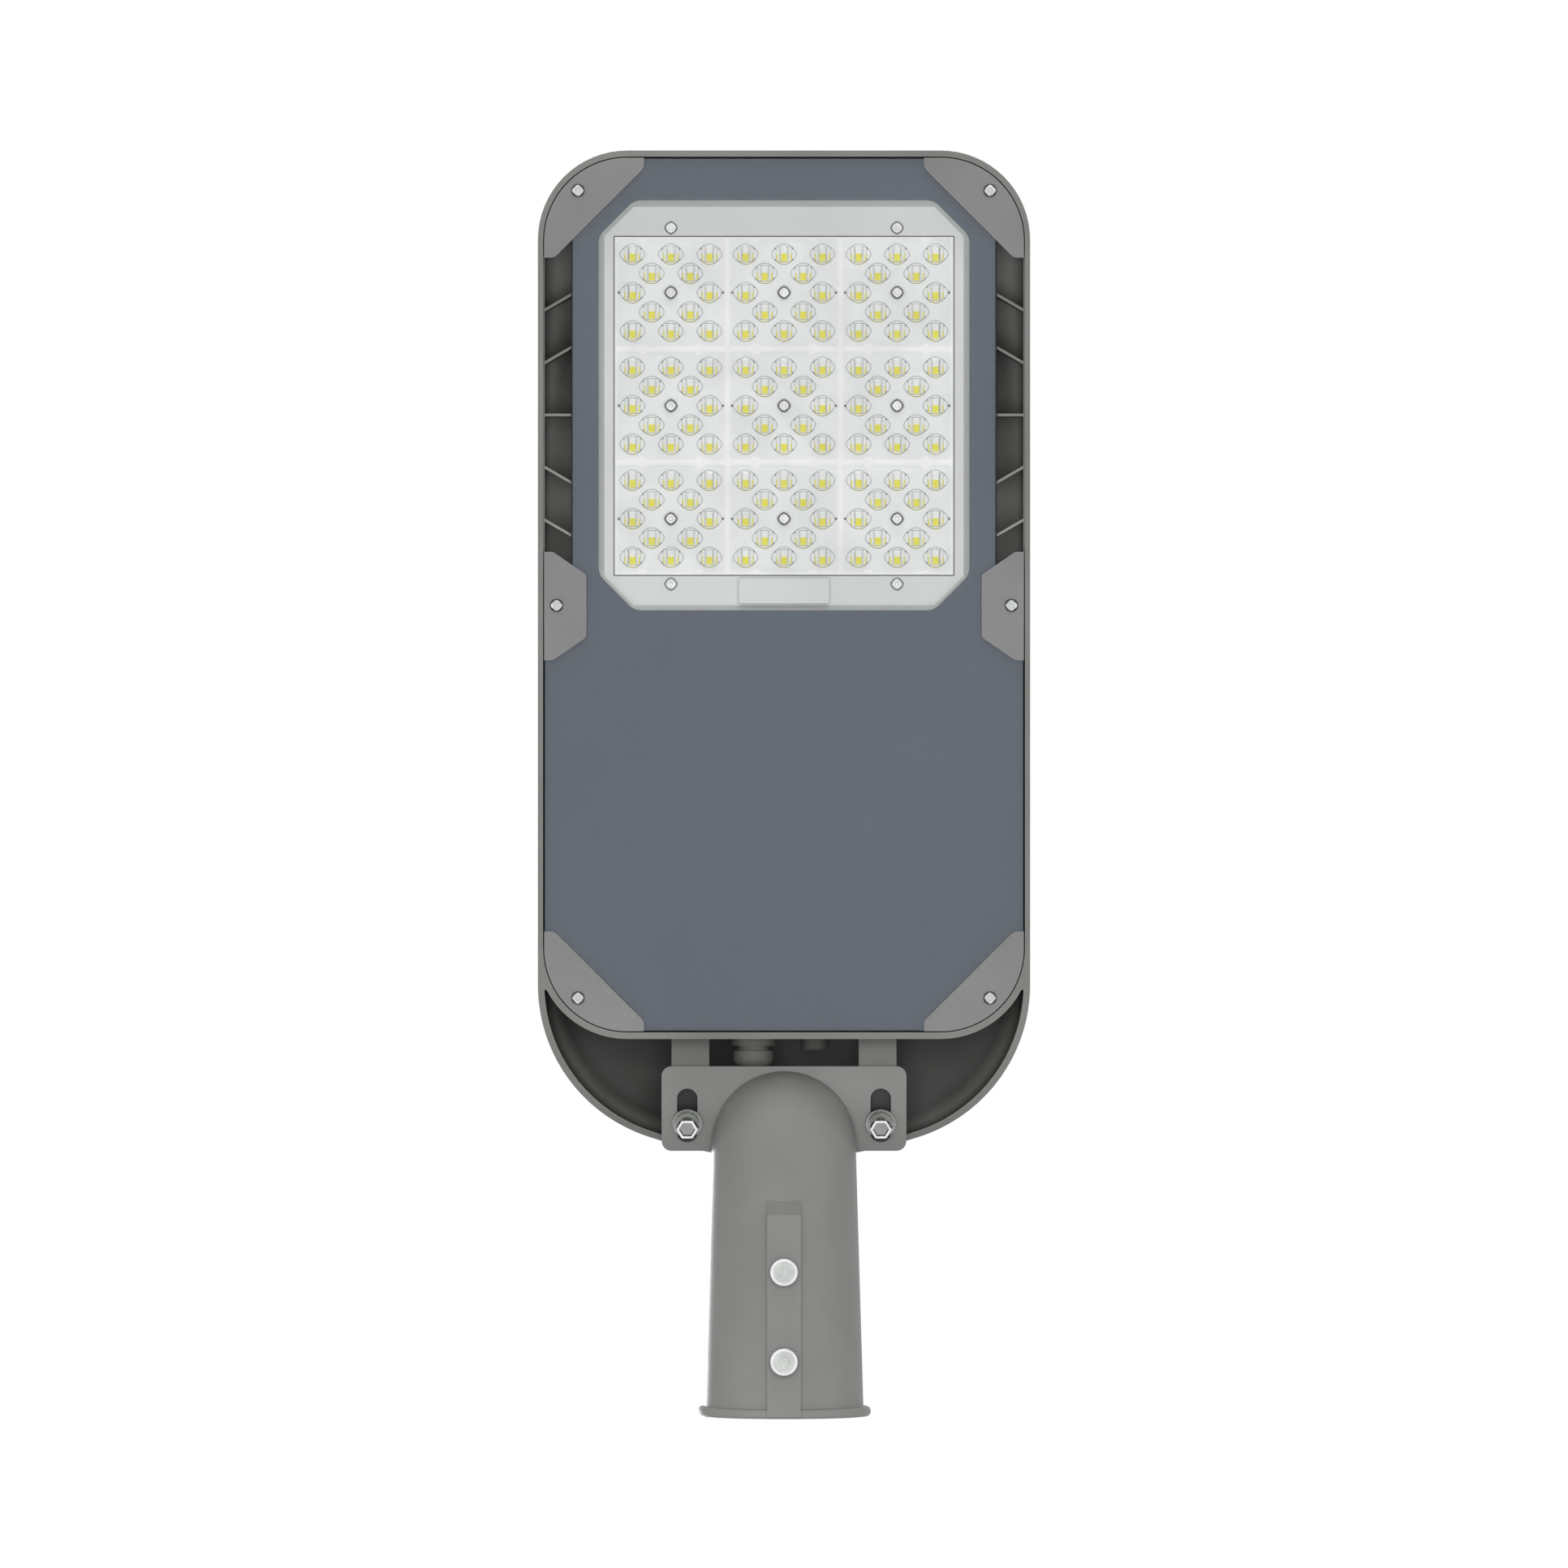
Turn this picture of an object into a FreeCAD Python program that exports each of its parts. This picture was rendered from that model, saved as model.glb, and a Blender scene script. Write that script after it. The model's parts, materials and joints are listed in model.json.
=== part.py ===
import FreeCAD, Part
import math
import os
import re

import Sketcher

# LED street light head on a spigot adapter, in millimetres.
# The origin is the centre of the spigot mouth, +Y leaves the mouth, -Y points at the nose of the lamp,
# and +Z is up. Every "reach" is a distance from the mouth towards the nose.

DRIVING_SIZES = [
    ("tilt_reach", 157, "spigot mouth to the tilt axis, along the spigot"),
    ("tilt_rise", 60, "tilt axis above the bore axis"),
    ("hood_behind", 38.6, "rear rim of the hood behind the tilt axis"),
    ("hood_ahead", 41, "front ends of the hood ahead of the tilt axis"),
    ("glass_ahead", 21.2, "seat of the glass ahead of the tilt axis"),
    ("roof_peak_ahead", 83, "top of the roof ahead of the tilt axis"),
    ("roof_peak", 62, "bore axis up to the top of the roof"),
    ("nose_rise", 16.1, "bore axis up to the roof line at the nose"),
    ("side_fall", 9.35, "fall of the roof line from the middle to a side"),
    ("nose_corner", 41.4, "plan radius of the front corners"),
    ("rear_corner", 75.2, "plan radius of the rear corners"),
    ("rear_bow", 191.8, "plan radius of the rear rim"),
    ("rim_drop", 16, "bore axis down to the lower rim"),
    ("shell", 3, "wall of the hood and of the roof"),
    ("shoulder", 16, "radius between the sides and the roof"),
    ("sweep_radius", 80.7, "upward sweep of the hood rim"),
    ("rim_wall", 2.35, "rim beside the glass"),
    ("nose_wall", 2.8, "rim ahead of the glass"),
    ("rear_wall", 3, "rim behind the glass"),
    ("glass_gap", 0.35, "clearance round the glass"),
    ("glass_thick", 4, "toughened glass"),
    ("print_thick", 0.3, "printed mask on the glass"),
    ("gasket_thick", 1.7, "gasket, pressed flat"),
    ("ledge_width", 7, "ledge that the gasket lies on"),
    ("gasket_inset", 1, "edge of the glass to the gasket"),
    ("gasket_width", 5, "width of the gasket"),
    ("recess_wide", 12.5, "side recess across the head"),
    ("recess_front_inset", 18.8, "front end of a side recess behind that of the window"),
    ("recess_rear_inset", 19.2, "rear end of a side recess ahead of that of the window"),
    ("rib_thick", 1.2, "ribs across the side recess"),
    ("rib_lean", 30, "slant of the outer ribs in degrees"),
    ("rib_shift", 4.5, "middle rib behind the middle of the board"),
    ("rib_step_near", 27.8, "middle rib to the next ones"),
    ("rib_step_far", 52.3, "middle rib to the last ones"),
    ("rib_base", 10, "bore axis down to the lower edge of the ribs"),
    ("glass_side_margin", 12.6, "narrow part of the glass outside the window"),
    ("window_side_margin", 7.3, "window outside the board"),
    ("board_front_margin", 16.5, "window ahead of the board"),
    ("board_rear_margin", 16.7, "window behind the board"),
    ("nose_margin", 22.9, "nose ahead of the window"),
    ("window_rear_lap", 7.8, "rear edge of the window ahead of the wide part of the glass"),
    ("corner_margin", 21.3, "cut corner of the window inside that of the glass, along an edge"),
    ("window_round", 8, "rounded corners of the window"),
    ("led_ceiling", 8, "underside of the heat sink plate"),
    ("sink_thick", 5, "heat sink plate under the fins"),
    ("fin_pitch", 9.6, "pitch of the cooling fins"),
    ("fin_thick", 3.2, "cooling fins"),
    ("fin_front_inset", 7.8, "gaps of the fins behind the front edge of the window, at their floor"),
    ("fin_rear_inset", 10.2, "gaps of the fins ahead of the rear edge of the window, at their floor"),
    ("fin_flare", 20, "slope of the ends of the gaps in degrees"),
    ("saddle_radius", 56, "saddle legs round the tilt axis"),
    ("saddle_gap", 0.3, "running clearance of the saddle"),
    ("leg_gap", 1.5, "inner face of a saddle leg beside the domed tube"),
    ("leg_wide", 17.4, "width of a saddle leg"),
    ("leg_rear_run", 27, "rear end of the saddle legs behind the tilt axis"),
    ("plate_thick", 4.2, "curved plate of the adapter"),
    ("plate_side_margin", 11.9, "side of the curved plate outside its bolt"),
    ("plate_front_angle", 5, "front end of the plate round the tilt axis"),
    ("plate_rear_angle", 34.4, "rear end of the plate round the tilt axis"),
    ("plate_corner", 4.5, "plan radius of the corners of the plate"),
    ("bolt_out", 1.4, "tilt bolt outside the middle of its leg"),
    ("bolt_angle", 20, "tilt bolts round the tilt axis"),
    ("bolt_radius", 3, "shank of a tilt bolt"),
    ("bolt_depth", 14, "grip of a tilt bolt in its leg"),
    ("bolt_tip_room", 2, "room past the tip of a tilt bolt"),
    ("bolt_head_radius", 5, "head of a tilt bolt"),
    ("bolt_head_high", 6, "height of the head of a tilt bolt"),
    ("bolt_key", 5, "hexagon socket across flats"),
    ("bolt_key_deep", 3.6, "depth of the hexagon socket"),
    ("washer_radius", 7, "flat washer"),
    ("washer_thick", 1.6, "flat washer"),
    ("spring_radius", 5.6, "spring washer"),
    ("spring_thick", 1.8, "spring washer"),
    ("spring_gap", 0.9, "gap in a spring washer"),
    ("spring_slant", 25, "slant of the gap in a spring washer in degrees"),
    ("slot_wide", 9.5, "tilt slots"),
    ("slot_front_angle", 9.3, "front end of a slot, centre of its round"),
    ("slot_rear_angle", 25.5, "rear end of a slot, centre of its round"),
    ("thread_gap", 0.15, "clearance round screws and bolts"),
    ("bore_radius", 31, "spigot bore"),
    ("bore_depth", 100, "spigot bore"),
    ("mouth_wall", 5.85, "wall of the tube at its mouth"),
    ("dome_wall", 2.3, "wall of the tube at its domed end"),
    ("dome_behind", 30.3, "centre of the dome behind the tilt axis"),
    ("cable_step", 9, "cable way narrower than the bore"),
    ("cable_end_gap", 9, "end of the cable way behind the tilt axis"),
    ("flange_wall", 9.25, "flange at the mouth outside the bore"),
    ("flange_thick", 4.6, "flange at the mouth"),
    ("flange_round", 2, "rounded edges of the flange"),
    ("rib_half", 7.7, "half width of the rib under the tube"),
    ("rib_deep", 10.5, "face of the rib outside the bore"),
    ("rib_ahead", 25.9, "front end of the raised rib ahead of the front clamp screw"),
    ("rib_ramp", 8.5, "ramp at the front end of the rib"),
    ("rib_rear_gap", 1, "rear end of the rib ahead of the mouth"),
    ("clamp_rear_reach", 26.7, "rear clamp screw from the mouth"),
    ("clamp_pitch", 41.4, "pitch of the clamp screws"),
    ("clamp_radius", 4, "shank of a clamp screw"),
    ("clamp_head_radius", 6.5, "head of a clamp screw"),
    ("clamp_head_high", 8, "height of the head of a clamp screw"),
    ("clamp_key", 6, "hexagon socket across flats"),
    ("clamp_key_deep", 4.8, "depth of the hexagon socket"),
    ("clamp_tip_gap", 0.4, "tips of the clamp screws short of the bore"),
    ("clip_thick", 2.5, "clips that hold the glass"),
    ("clip_gap", 0.6, "gap between a clip and the rim"),
    ("clip_leg", 46.2, "length of a corner clip along each side"),
    ("clip_end", 4.7, "flat end of a corner clip"),
    ("clip_round", 4, "rounded inner corners of a corner clip"),
    ("clip_lap", 11.05, "lap of a corner clip over the glass, along an edge"),
    ("clip_screw_inset", 18.6, "corner clip screws inside the side and the nose"),
    ("clip_screw_rear_inset", 16, "rear clip screws ahead of the rear edge of the glass"),
    ("clip_screw_grip", 9, "clip screws above the clip"),
    ("side_clip_wide", 19.5, "side clip across the head"),
    ("side_clip_ahead", 24.8, "front end of a side clip ahead of its screw"),
    ("side_clip_behind", 25.4, "rear end of a side clip behind its screw"),
    ("side_clip_end", 4, "flat end of a side clip"),
    ("side_clip_cut", 10.6, "cut inner corners of a side clip"),
    ("side_clip_round", 2.5, "rounded inner corners of a side clip"),
    ("side_screw_inset", 8.7, "side clip screws inside the side of the head"),
    ("side_screw_ahead", 2.2, "side clip screws ahead of the rear edge of the window"),
    ("boss_radius", 5.2, "bosses for the clip screws"),
    ("screw_radius", 1.6, "shanks of the small screws"),
    ("screw_head_radius", 3.05, "heads of the small screws"),
    ("screw_head_high", 2, "heads of the small screws"),
    ("screw_key", 2.5, "hexagon socket of the small screws across flats"),
    ("screw_key_deep", 1, "depth of the hexagon socket"),
    ("blind_floor", 1, "metal left past a blind hole"),
    ("tip_gap", 0.5, "tip of a screw to the end of its hole"),
    ("board_side_edge", 1.1, "board outside the lens arrays, across the head"),
    ("board_end_edge", 0.9, "board outside the lens arrays, along the head"),
    ("board_thick", 1.6, "circuit board"),
    ("tray_thick", 1.4, "sheet of the LED tray"),
    ("tray_margin", 2.6, "tray edge outside the window"),
    ("tray_slope", 16, "slope of the tray edges in degrees"),
    ("tray_edge_gap", 1.5, "edge of the tray above the ledge"),
    ("tray_room_gap", 1.5, "room behind the rear edge of the tray"),
    ("tray_board_gap", 0.6, "opening of the tray round the board"),
    ("tray_screw_gap", 4.3, "tray screws outside the board"),
    ("cover_wide", 42.1, "connector cover"),
    ("cover_long", 11.7, "connector cover"),
    ("cover_high", 5.5, "connector cover"),
    ("cover_gap", 1.7, "connector cover behind the board"),
    ("cover_round", 1.5, "edges of the connector cover"),
    ("lens_pitch", 8.93, "half pitch of the lenses"),
    ("lens_margin", 1.29, "edge of a lens array outside its lenses"),
    ("lens_wide", 11.7, "lens across the head"),
    ("lens_long", 9.9, "lens along the head"),
    ("lens_crown", 0.62, "crown of a lens as a share of its foot"),
    ("lens_high", 4.2, "height of a lens"),
    ("module_gap", 2.5, "gap between two lens arrays"),
    ("module_thick", 2.8, "plate of a lens array"),
    ("module_rim", 2, "rim of a lens array on the board"),
    ("module_room", 1.4, "room over the chips"),
    ("notch_half", 13.3, "notches of a lens array off its middle"),
    ("notch_wide", 5, "mouth of a notch"),
    ("notch_floor", 2.2, "floor of a notch"),
    ("notch_deep", 1.5, "depth of a notch"),
    ("post_radius", 3.6, "middle post of a lens array"),
    ("chip_wide", 2.8, "LED chip"),
    ("chip_long", 3.7, "LED chip"),
    ("chip_thick", 0.8, "LED chip"),
    ("chip_shift", 1.6, "chips behind the middle of their lens"),
    ("wire_pass_wide", 20, "wire pass between the two rooms"),
    ("wire_pass_high", 6, "wire pass between the two rooms"),
    ("wire_pass_gap", 2, "wire pass below the heat sink plate"),
    ("gear_rise", 36, "face of the posts for the gear tray"),
    ("gear_post_radius", 5, "gear tray posts"),
    ("gear_screw_grip", 6, "gear tray screws above the tray"),
    ("rear_post_room", 45.8, "rear gear tray posts ahead of the rear edge of the glass"),
    ("post_side_gap", 9, "gear tray posts beside the driver"),
    ("post_ahead", 11, "front gear tray posts ahead of the driver"),
    ("gear_thick", 1.5, "gear tray"),
    ("gear_margin", 8, "gear tray edge outside its posts"),
    ("gear_front_gap", 13, "gear tray to the ledge ahead of it"),
    ("gear_edge_gap", 4, "rear edge of the gear tray to the surge protector"),
    ("gear_row_gap", 13, "driver ahead of the surge protector"),
    ("gear_lip", 6, "turned-down lips of the gear tray"),
    ("driver_wide", 150, "LED driver"),
    ("driver_long", 62, "LED driver"),
    ("driver_high", 30, "LED driver"),
    ("driver_foot", 8, "mounting feet of the LED driver"),
    ("driver_foot_thick", 3, "mounting feet of the LED driver"),
    ("driver_foot_inset", 4, "mounting feet inside the ends of the LED driver"),
    ("surge_wide", 58, "surge protector"),
    ("surge_long", 32, "surge protector"),
    ("surge_high", 24, "surge protector"),
    ("surge_inner", 15, "near side of the surge protector off the middle"),
    ("terminal_wide", 52, "terminal block"),
    ("terminal_long", 18, "terminal block"),
    ("terminal_high", 17, "terminal block"),
    ("terminal_inner", 10, "near side of the terminal block off the middle"),
    ("terminal_poles", 5, "poles of the terminal block"),
    ("terminal_entry_rise", 3, "wire entries above the lower face of the terminal block"),
    ("terminal_entry_high", 6, "wire entries of the terminal block"),
    ("gland_rise", 20, "cable gland above the bore axis"),
    ("gland_half", 14.4, "cable gland and vent plug off the middle"),
    ("gland_thread_radius", 7.8, "thread of the cable gland"),
    ("gland_inner_long", 4, "thread of the cable gland inside the gear room"),
    ("gland_flange_radius", 10.5, "flange of the cable gland"),
    ("gland_flange_thick", 3.6, "flange of the cable gland"),
    ("gland_neck_radius", 7.5, "neck of the cable gland"),
    ("gland_neck_long", 2.2, "neck of the cable gland"),
    ("gland_nut_radius", 9.5, "dome nut"),
    ("gland_nut_long", 7.4, "dome nut"),
    ("gland_nut_wall", 2, "end wall of the dome nut"),
    ("gland_nut_round", 3.5, "rounded end of the dome nut"),
    ("gland_seal_radius", 6.4, "seal in the cable gland"),
    ("gland_bore_radius", 4.2, "cable bore"),
    ("vent_radius", 6.4, "vent plug"),
    ("vent_long", 5.7, "vent plug"),
    ("vent_thread_radius", 4.8, "thread of the vent plug"),
    ("vent_round", 1.2, "rounded cap of the vent plug"),
]

# Sizes and places that follow from the driving sizes, or from those above them in this list.
# The LED board sets the width of the head. Its length is a chain from the tilt axis to the nose, through the
# gear, the board and the window.
FOLLOWING_SIZES = [
    ("module_side", "4 * lens_pitch + lens_wide + 2 * lens_margin"),
    ("module_pitch", "module_side + module_gap"),
    ("board_wide", "2 * module_pitch + module_side + 2 * board_side_edge"),
    ("board_long", "2 * module_pitch + module_side + 2 * board_end_edge"),
    ("window_half", "board_wide / 2 + window_side_margin"),
    ("waist_half", "window_half + glass_side_margin"),
    ("head_half", "waist_half + recess_wide + shell"),
    ("hood_reach", "tilt_reach - hood_behind"),
    ("hood_front_reach", "tilt_reach + hood_ahead"),
    ("roof_peak_reach", "tilt_reach + roof_peak_ahead"),
    ("glass_rear_reach", "tilt_reach + glass_ahead"),
    ("rear_face", "glass_rear_reach - rear_wall"),
    ("post_rear_reach", "glass_rear_reach + rear_post_room"),
    ("gear_rear_row_reach", "post_rear_reach - gear_margin + gear_edge_gap + surge_long / 2"),
    ("driver_reach", "gear_rear_row_reach + surge_long / 2 + gear_row_gap + driver_long / 2"),
    ("post_front_reach", "driver_reach + driver_long / 2 + post_ahead"),
    ("waist_rear_reach", "post_front_reach + gear_margin + gear_front_gap + ledge_width"),
    ("window_rear_reach", "waist_rear_reach + window_rear_lap"),
    ("board_reach", "window_rear_reach + board_rear_margin + board_long / 2"),
    ("window_front_reach", "board_reach + board_long / 2 + board_front_margin"),
    ("nose_reach", "window_front_reach + nose_margin"),
    ("roof_run", "nose_reach - roof_peak_reach"),
    ("nose_fall", "roof_peak - nose_rise"),
    ("roof_bow", "(roof_run^2 + nose_fall^2) / (2 * nose_fall)"),
    ("roof_crown", "(head_half^2 + side_fall^2) / (2 * side_fall)"),
    ("seat_side", "head_half - rim_wall"),
    ("seat_nose", "nose_reach - nose_wall"),
    ("glass_base", "clip_thick - rim_drop"),
    ("print_base", "glass_base + glass_thick"),
    ("gasket_base", "print_base + print_thick"),
    ("ledge_base", "gasket_base + gasket_thick"),
    ("clip_side", "seat_side - clip_gap"),
    ("clip_nose", "seat_nose - clip_gap"),
    ("clip_rear", "glass_rear_reach + clip_gap"),
    ("front_cut", "clip_side + clip_nose - clip_leg - clip_end + clip_lap"),
    ("rear_cut", "clip_rear - clip_side + clip_leg + clip_end - clip_lap"),
    ("window_cut", "window_half + window_front_reach - front_cut + corner_margin"),
    ("clip_screw_half", "head_half - clip_screw_inset"),
    ("clip_screw_front_reach", "nose_reach - clip_screw_inset"),
    ("clip_screw_rear_reach", "glass_rear_reach + clip_screw_rear_inset"),
    ("side_screw_half", "head_half - side_screw_inset"),
    ("side_screw_reach", "window_rear_reach + side_screw_ahead"),
    ("side_clip_front_reach", "side_screw_reach + side_clip_ahead"),
    ("side_clip_rear_reach", "side_screw_reach - side_clip_behind"),
    ("recess_front_reach", "window_front_reach - recess_front_inset"),
    ("recess_rear_reach", "window_rear_reach + recess_rear_inset"),
    ("rib_reach", "board_reach - rib_shift"),
    ("rib_run", "3 * recess_wide"),
    ("fin_gap", "fin_pitch - fin_thick"),
    ("fin_gaps", "2 * floor((waist_half - shell - fin_gap / 2) / fin_pitch) + 1"),
    ("fin_front_reach", "window_front_reach - fin_front_inset"),
    ("fin_rear_reach", "window_rear_reach + fin_rear_inset"),
    ("board_base", "led_ceiling - board_thick"),
    ("lens_plate_base", "board_base - module_thick"),
    ("tray_base", "ledge_base + tray_edge_gap"),
    ("tray_half", "window_half + tray_margin"),
    ("tray_front_reach", "window_front_reach + tray_margin"),
    ("tray_rear_reach", "window_rear_reach - tray_margin"),
    ("tray_screw_front_reach", "board_reach + board_long / 2 + tray_screw_gap"),
    ("tray_screw_rear_reach", "board_reach - board_long / 2 - tray_screw_gap"),
    ("cover_reach", "board_reach - board_long / 2 - cover_gap - cover_long / 2"),
    ("screw_hole_radius", "screw_radius + thread_gap"),
    ("sink_screw_grip", "sink_thick - blind_floor - tip_gap"),
    ("gear_base", "gear_rise - gear_thick"),
    ("post_half_wide", "driver_wide / 2 + post_side_gap"),
    ("surge_half", "surge_inner + surge_wide / 2"),
    ("terminal_half", "terminal_inner + terminal_wide / 2"),
    ("terminal_pole", "terminal_wide / terminal_poles"),
    ("gland_wall", "ledge_width + glass_gap + rear_wall"),
    ("cable_radius", "bore_radius - cable_step"),
    ("cable_depth", "tilt_reach - cable_end_gap"),
    ("dome_radius", "bore_radius + dome_wall"),
    ("dome_reach", "tilt_reach - dome_behind"),
    ("tube_mouth_radius", "bore_radius + mouth_wall"),
    ("flange_radius", "bore_radius + flange_wall"),
    ("rib_drop", "bore_radius + rib_deep"),
    ("clamp_front_reach", "clamp_rear_reach + clamp_pitch"),
    ("rib_front_reach", "clamp_front_reach + rib_ahead"),
    ("leg_inner", "dome_radius + leg_gap"),
    ("leg_rear_reach", "tilt_reach - leg_rear_run"),
    ("bolt_half", "leg_inner + leg_wide / 2 + bolt_out"),
    ("plate_half", "bolt_half + plate_side_margin"),
    ("plate_inside", "saddle_radius + saddle_gap"),
    ("plate_outside", "plate_inside + plate_thick"),
    ("washer_seat", "plate_outside + saddle_gap"),
]

# How far a cut runs past the faces that it opens
PAST = "1"
# Turn of the cut that crowns the roof, in degrees, which is more than the head needs
ROOF_TURN = 60

doc = FreeCAD.newDocument("street_light_head")
sheet = doc.addObject("Spreadsheet::Sheet", "Sizes")
for row, (alias, amount, meaning) in enumerate(DRIVING_SIZES, start=1):
    sheet.set(f"A{row}", meaning)
    sheet.set(f"B{row}", str(amount))
    sheet.setAlias(f"B{row}", alias)
doc.recompute()
HOMES = {alias: "Sizes." for alias, amount, meaning in DRIVING_SIZES}
HOMES.update({name: "Following." for name, text in FOLLOWING_SIZES})


def formula(text):
    """The text of a formula with every size name pointed at the sheet or the sizes that follow from it."""
    return re.sub(r"[a-z_]+", lambda name: HOMES.get(name[0], "") + name[0], text)


following = doc.addObject("App::VarSet", "Following")
for followed, rule in FOLLOWING_SIZES:
    following.addProperty("App::PropertyFloat", followed, "Following")
    following.setExpression(followed, formula(rule))
doc.recompute()


def value(text):
    """The number that a formula gives now."""
    found = sheet.evalExpression(formula(str(text)))
    return float(getattr(found, "Value", found))


def bind(item, **formulas):
    """Tie properties of an object to the sheet. A double underscore stands for a dot."""
    for name, text in formulas.items():
        item.setExpression(name.replace("__", "."), formula(text))
    return item


def place(item, x="0", y="0", z="0"):
    """Tie the position of an object to the sheet."""
    return bind(item, Placement__Base__x=x, Placement__Base__y=y, Placement__Base__z=z)


def new_body(label):
    """An empty body under its own label."""
    body = doc.addObject("PartDesign::Body", label)
    body.Label = label
    return body


def new_sketch(body, name, role="XY_Plane", height="0"):
    """An empty sketch on one of the body's own planes, raised along its normal."""
    sketch = body.newObject("Sketcher::SketchObject", name)
    plane = next(item for item in body.Origin.OriginFeatures if item.Role == role)
    sketch.AttachmentSupport = (plane, [""])
    sketch.MapMode = "FlatFace"
    return bind(sketch, AttachmentOffset__Base__z=height)


def draw(sketch, corners):
    """Draw a closed outline through corners (x, y) or (x, y, radius).

    A radius makes the edge that arrives at its corner an arc: anticlockwise, or clockwise if it has a minus.
    """
    points = [FreeCAD.Vector(value(corner[0]), value(corner[1]), 0) for corner in corners]
    first = sketch.GeometryCount
    ends = []
    for index, corner in enumerate(corners):
        start, end = points[index - 1], points[index]
        if len(corner) == 2:
            sketch.addGeometry(Part.LineSegment(start, end), False)
            ends.append((1, 2))
            continue
        clockwise = corner[2].startswith("-")
        if clockwise:
            start, end = end, start
        radius = abs(value(corner[2]))
        across = end - start
        aside = FreeCAD.Vector(-across.y, across.x, 0)
        aside.normalize()
        centre = (start + end) * 0.5 + aside * math.sqrt(max(radius**2 - across.Length**2 / 4, 0))
        begin = math.atan2(start.y - centre.y, start.x - centre.x)
        finish = math.atan2(end.y - centre.y, end.x - centre.x)
        circle = Part.Circle(centre, FreeCAD.Vector(0, 0, 1), radius)
        sketch.addGeometry(Part.ArcOfCircle(circle, begin, finish), False)
        ends.append((2, 1) if clockwise else (1, 2))
    count = len(corners)
    for index in range(count):
        following = (index + 1) % count
        sketch.addConstraint(
            Sketcher.Constraint(
                "Coincident", first + index, ends[index][1], first + following, ends[following][0]
            )
        )
    for index, corner in enumerate(corners):
        tie(sketch, "DistanceX", (first + index, ends[index][1]), corner[0])
        tie(sketch, "DistanceY", (first + index, ends[index][1]), corner[1])
        if len(corner) == 3:
            tie(sketch, "Radius", (first + index,), corner[2].lstrip("-"))
    return sketch


def draw_circle(sketch, x, y, radius):
    """Draw a circle with its centre and radius tied to the sheet."""
    centre = FreeCAD.Vector(value(x), value(y), 0)
    circle = sketch.addGeometry(Part.Circle(centre, FreeCAD.Vector(0, 0, 1), value(radius)), False)
    tie(sketch, "DistanceX", (circle, 3), x)
    tie(sketch, "DistanceY", (circle, 3), y)
    tie(sketch, "Radius", (circle,), radius)
    return sketch


def tie(sketch, kind, what, text):
    """One dimension of a sketch that follows a formula."""
    constraint = sketch.addConstraint(Sketcher.Constraint(kind, *what, value(text)))
    sketch.setExpression(f"Constraints[{constraint}]", formula(text))


def rectangle(left, right, front, rear):
    """The corners of a plain rectangle."""
    return [(left, front), (right, front), (right, rear), (left, rear)]


def rounded_rectangle(side, front, rear, radius):
    """The corners of a rectangle about the middle line, with round corners."""
    return [
        (f"-{side} + {radius}", front, radius),
        (f"{side} - {radius}", front),
        (side, f"{front} + {radius}", radius),
        (side, f"{rear} - {radius}"),
        (f"{side} - {radius}", rear, radius),
        (f"-{side} + {radius}", rear),
        (f"-{side}", f"{rear} - {radius}", radius),
        (f"-{side}", f"{front} + {radius}"),
    ]


def cut_rectangle(side, front, rear, cut):
    """The corners of a rectangle about the middle line, with its corners cut off."""
    return [
        (f"-{side} + {cut}", front),
        (f"{side} - {cut}", front),
        (side, f"{front} + {cut}"),
        (side, f"{rear} - {cut}"),
        (f"{side} - {cut}", rear),
        (f"-{side} + {cut}", rear),
        (f"-{side}", f"{rear} - {cut}"),
        (f"-{side}", f"{front} + {cut}"),
    ]


def mirrored(corners):
    """A right half outline, from front to rear, closed by its mirror image."""
    return corners + [(f"-({corner[0]})", corner[1]) for corner in reversed(corners)]


def pad(body, sketch, length, slope=None):
    """Raise a sketch along its normal, leaning inwards by a slope in degrees."""
    feature = body.newObject("PartDesign::Pad", sketch.Name + "_pad")
    feature.Profile = sketch
    bind(feature, Length=length)
    if slope:
        bind(feature, TaperAngle=f"-1 * ({slope})")
    return feature


def pocket(body, sketch, length, slope=None):
    """Cut a sketch out of the body, upwards along its normal."""
    feature = body.newObject("PartDesign::Pocket", sketch.Name + "_pocket")
    feature.Profile = sketch
    feature.Reversed = True
    bind(feature, Length=length)
    if slope:
        bind(feature, TaperAngle=f"-1 * ({slope})")
    return feature


def repeat(body, feature, role, step, count):
    """Repeat a feature along one of the body's own axes, and make the result count."""
    pattern = body.newObject("PartDesign::LinearPattern", feature.Name + "_row")
    pattern.Originals = [feature]
    pattern.Direction = (next(item for item in body.Origin.OriginFeatures if item.Role == role), [""])
    bind(pattern, Length=f"({step}) * ({count} - 1)", Occurrences=count)
    body.Tip = pattern
    return pattern


def round_corners(body, radius, corners):
    """Round the upright edges of a body that stand at some corners (x, y)."""
    doc.recompute()
    base = body.Tip
    wanted = [(value(corner[0]), value(corner[1])) for corner in corners]
    edges = []
    for number, edge in enumerate(base.Shape.Edges, start=1):
        middle = edge.CenterOfMass
        upright = math.isclose(edge.Length, edge.BoundBox.ZLength)
        if upright and any(math.dist((middle.x, middle.y), corner) < 0.01 for corner in wanted):
            edges.append(f"Edge{number}")
    fillet = body.newObject("PartDesign::Fillet", body.Name + "_corners")
    fillet.Base = (base, edges)
    bind(fillet, Radius=radius)
    return fillet


def block(name, x, y, z, wide, long, high):
    """A plain block from its lowest corner."""
    box = doc.addObject("Part::Box", name)
    bind(box, Length=wide, Width=long, Height=high)
    return place(box, x, y, z)


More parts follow.
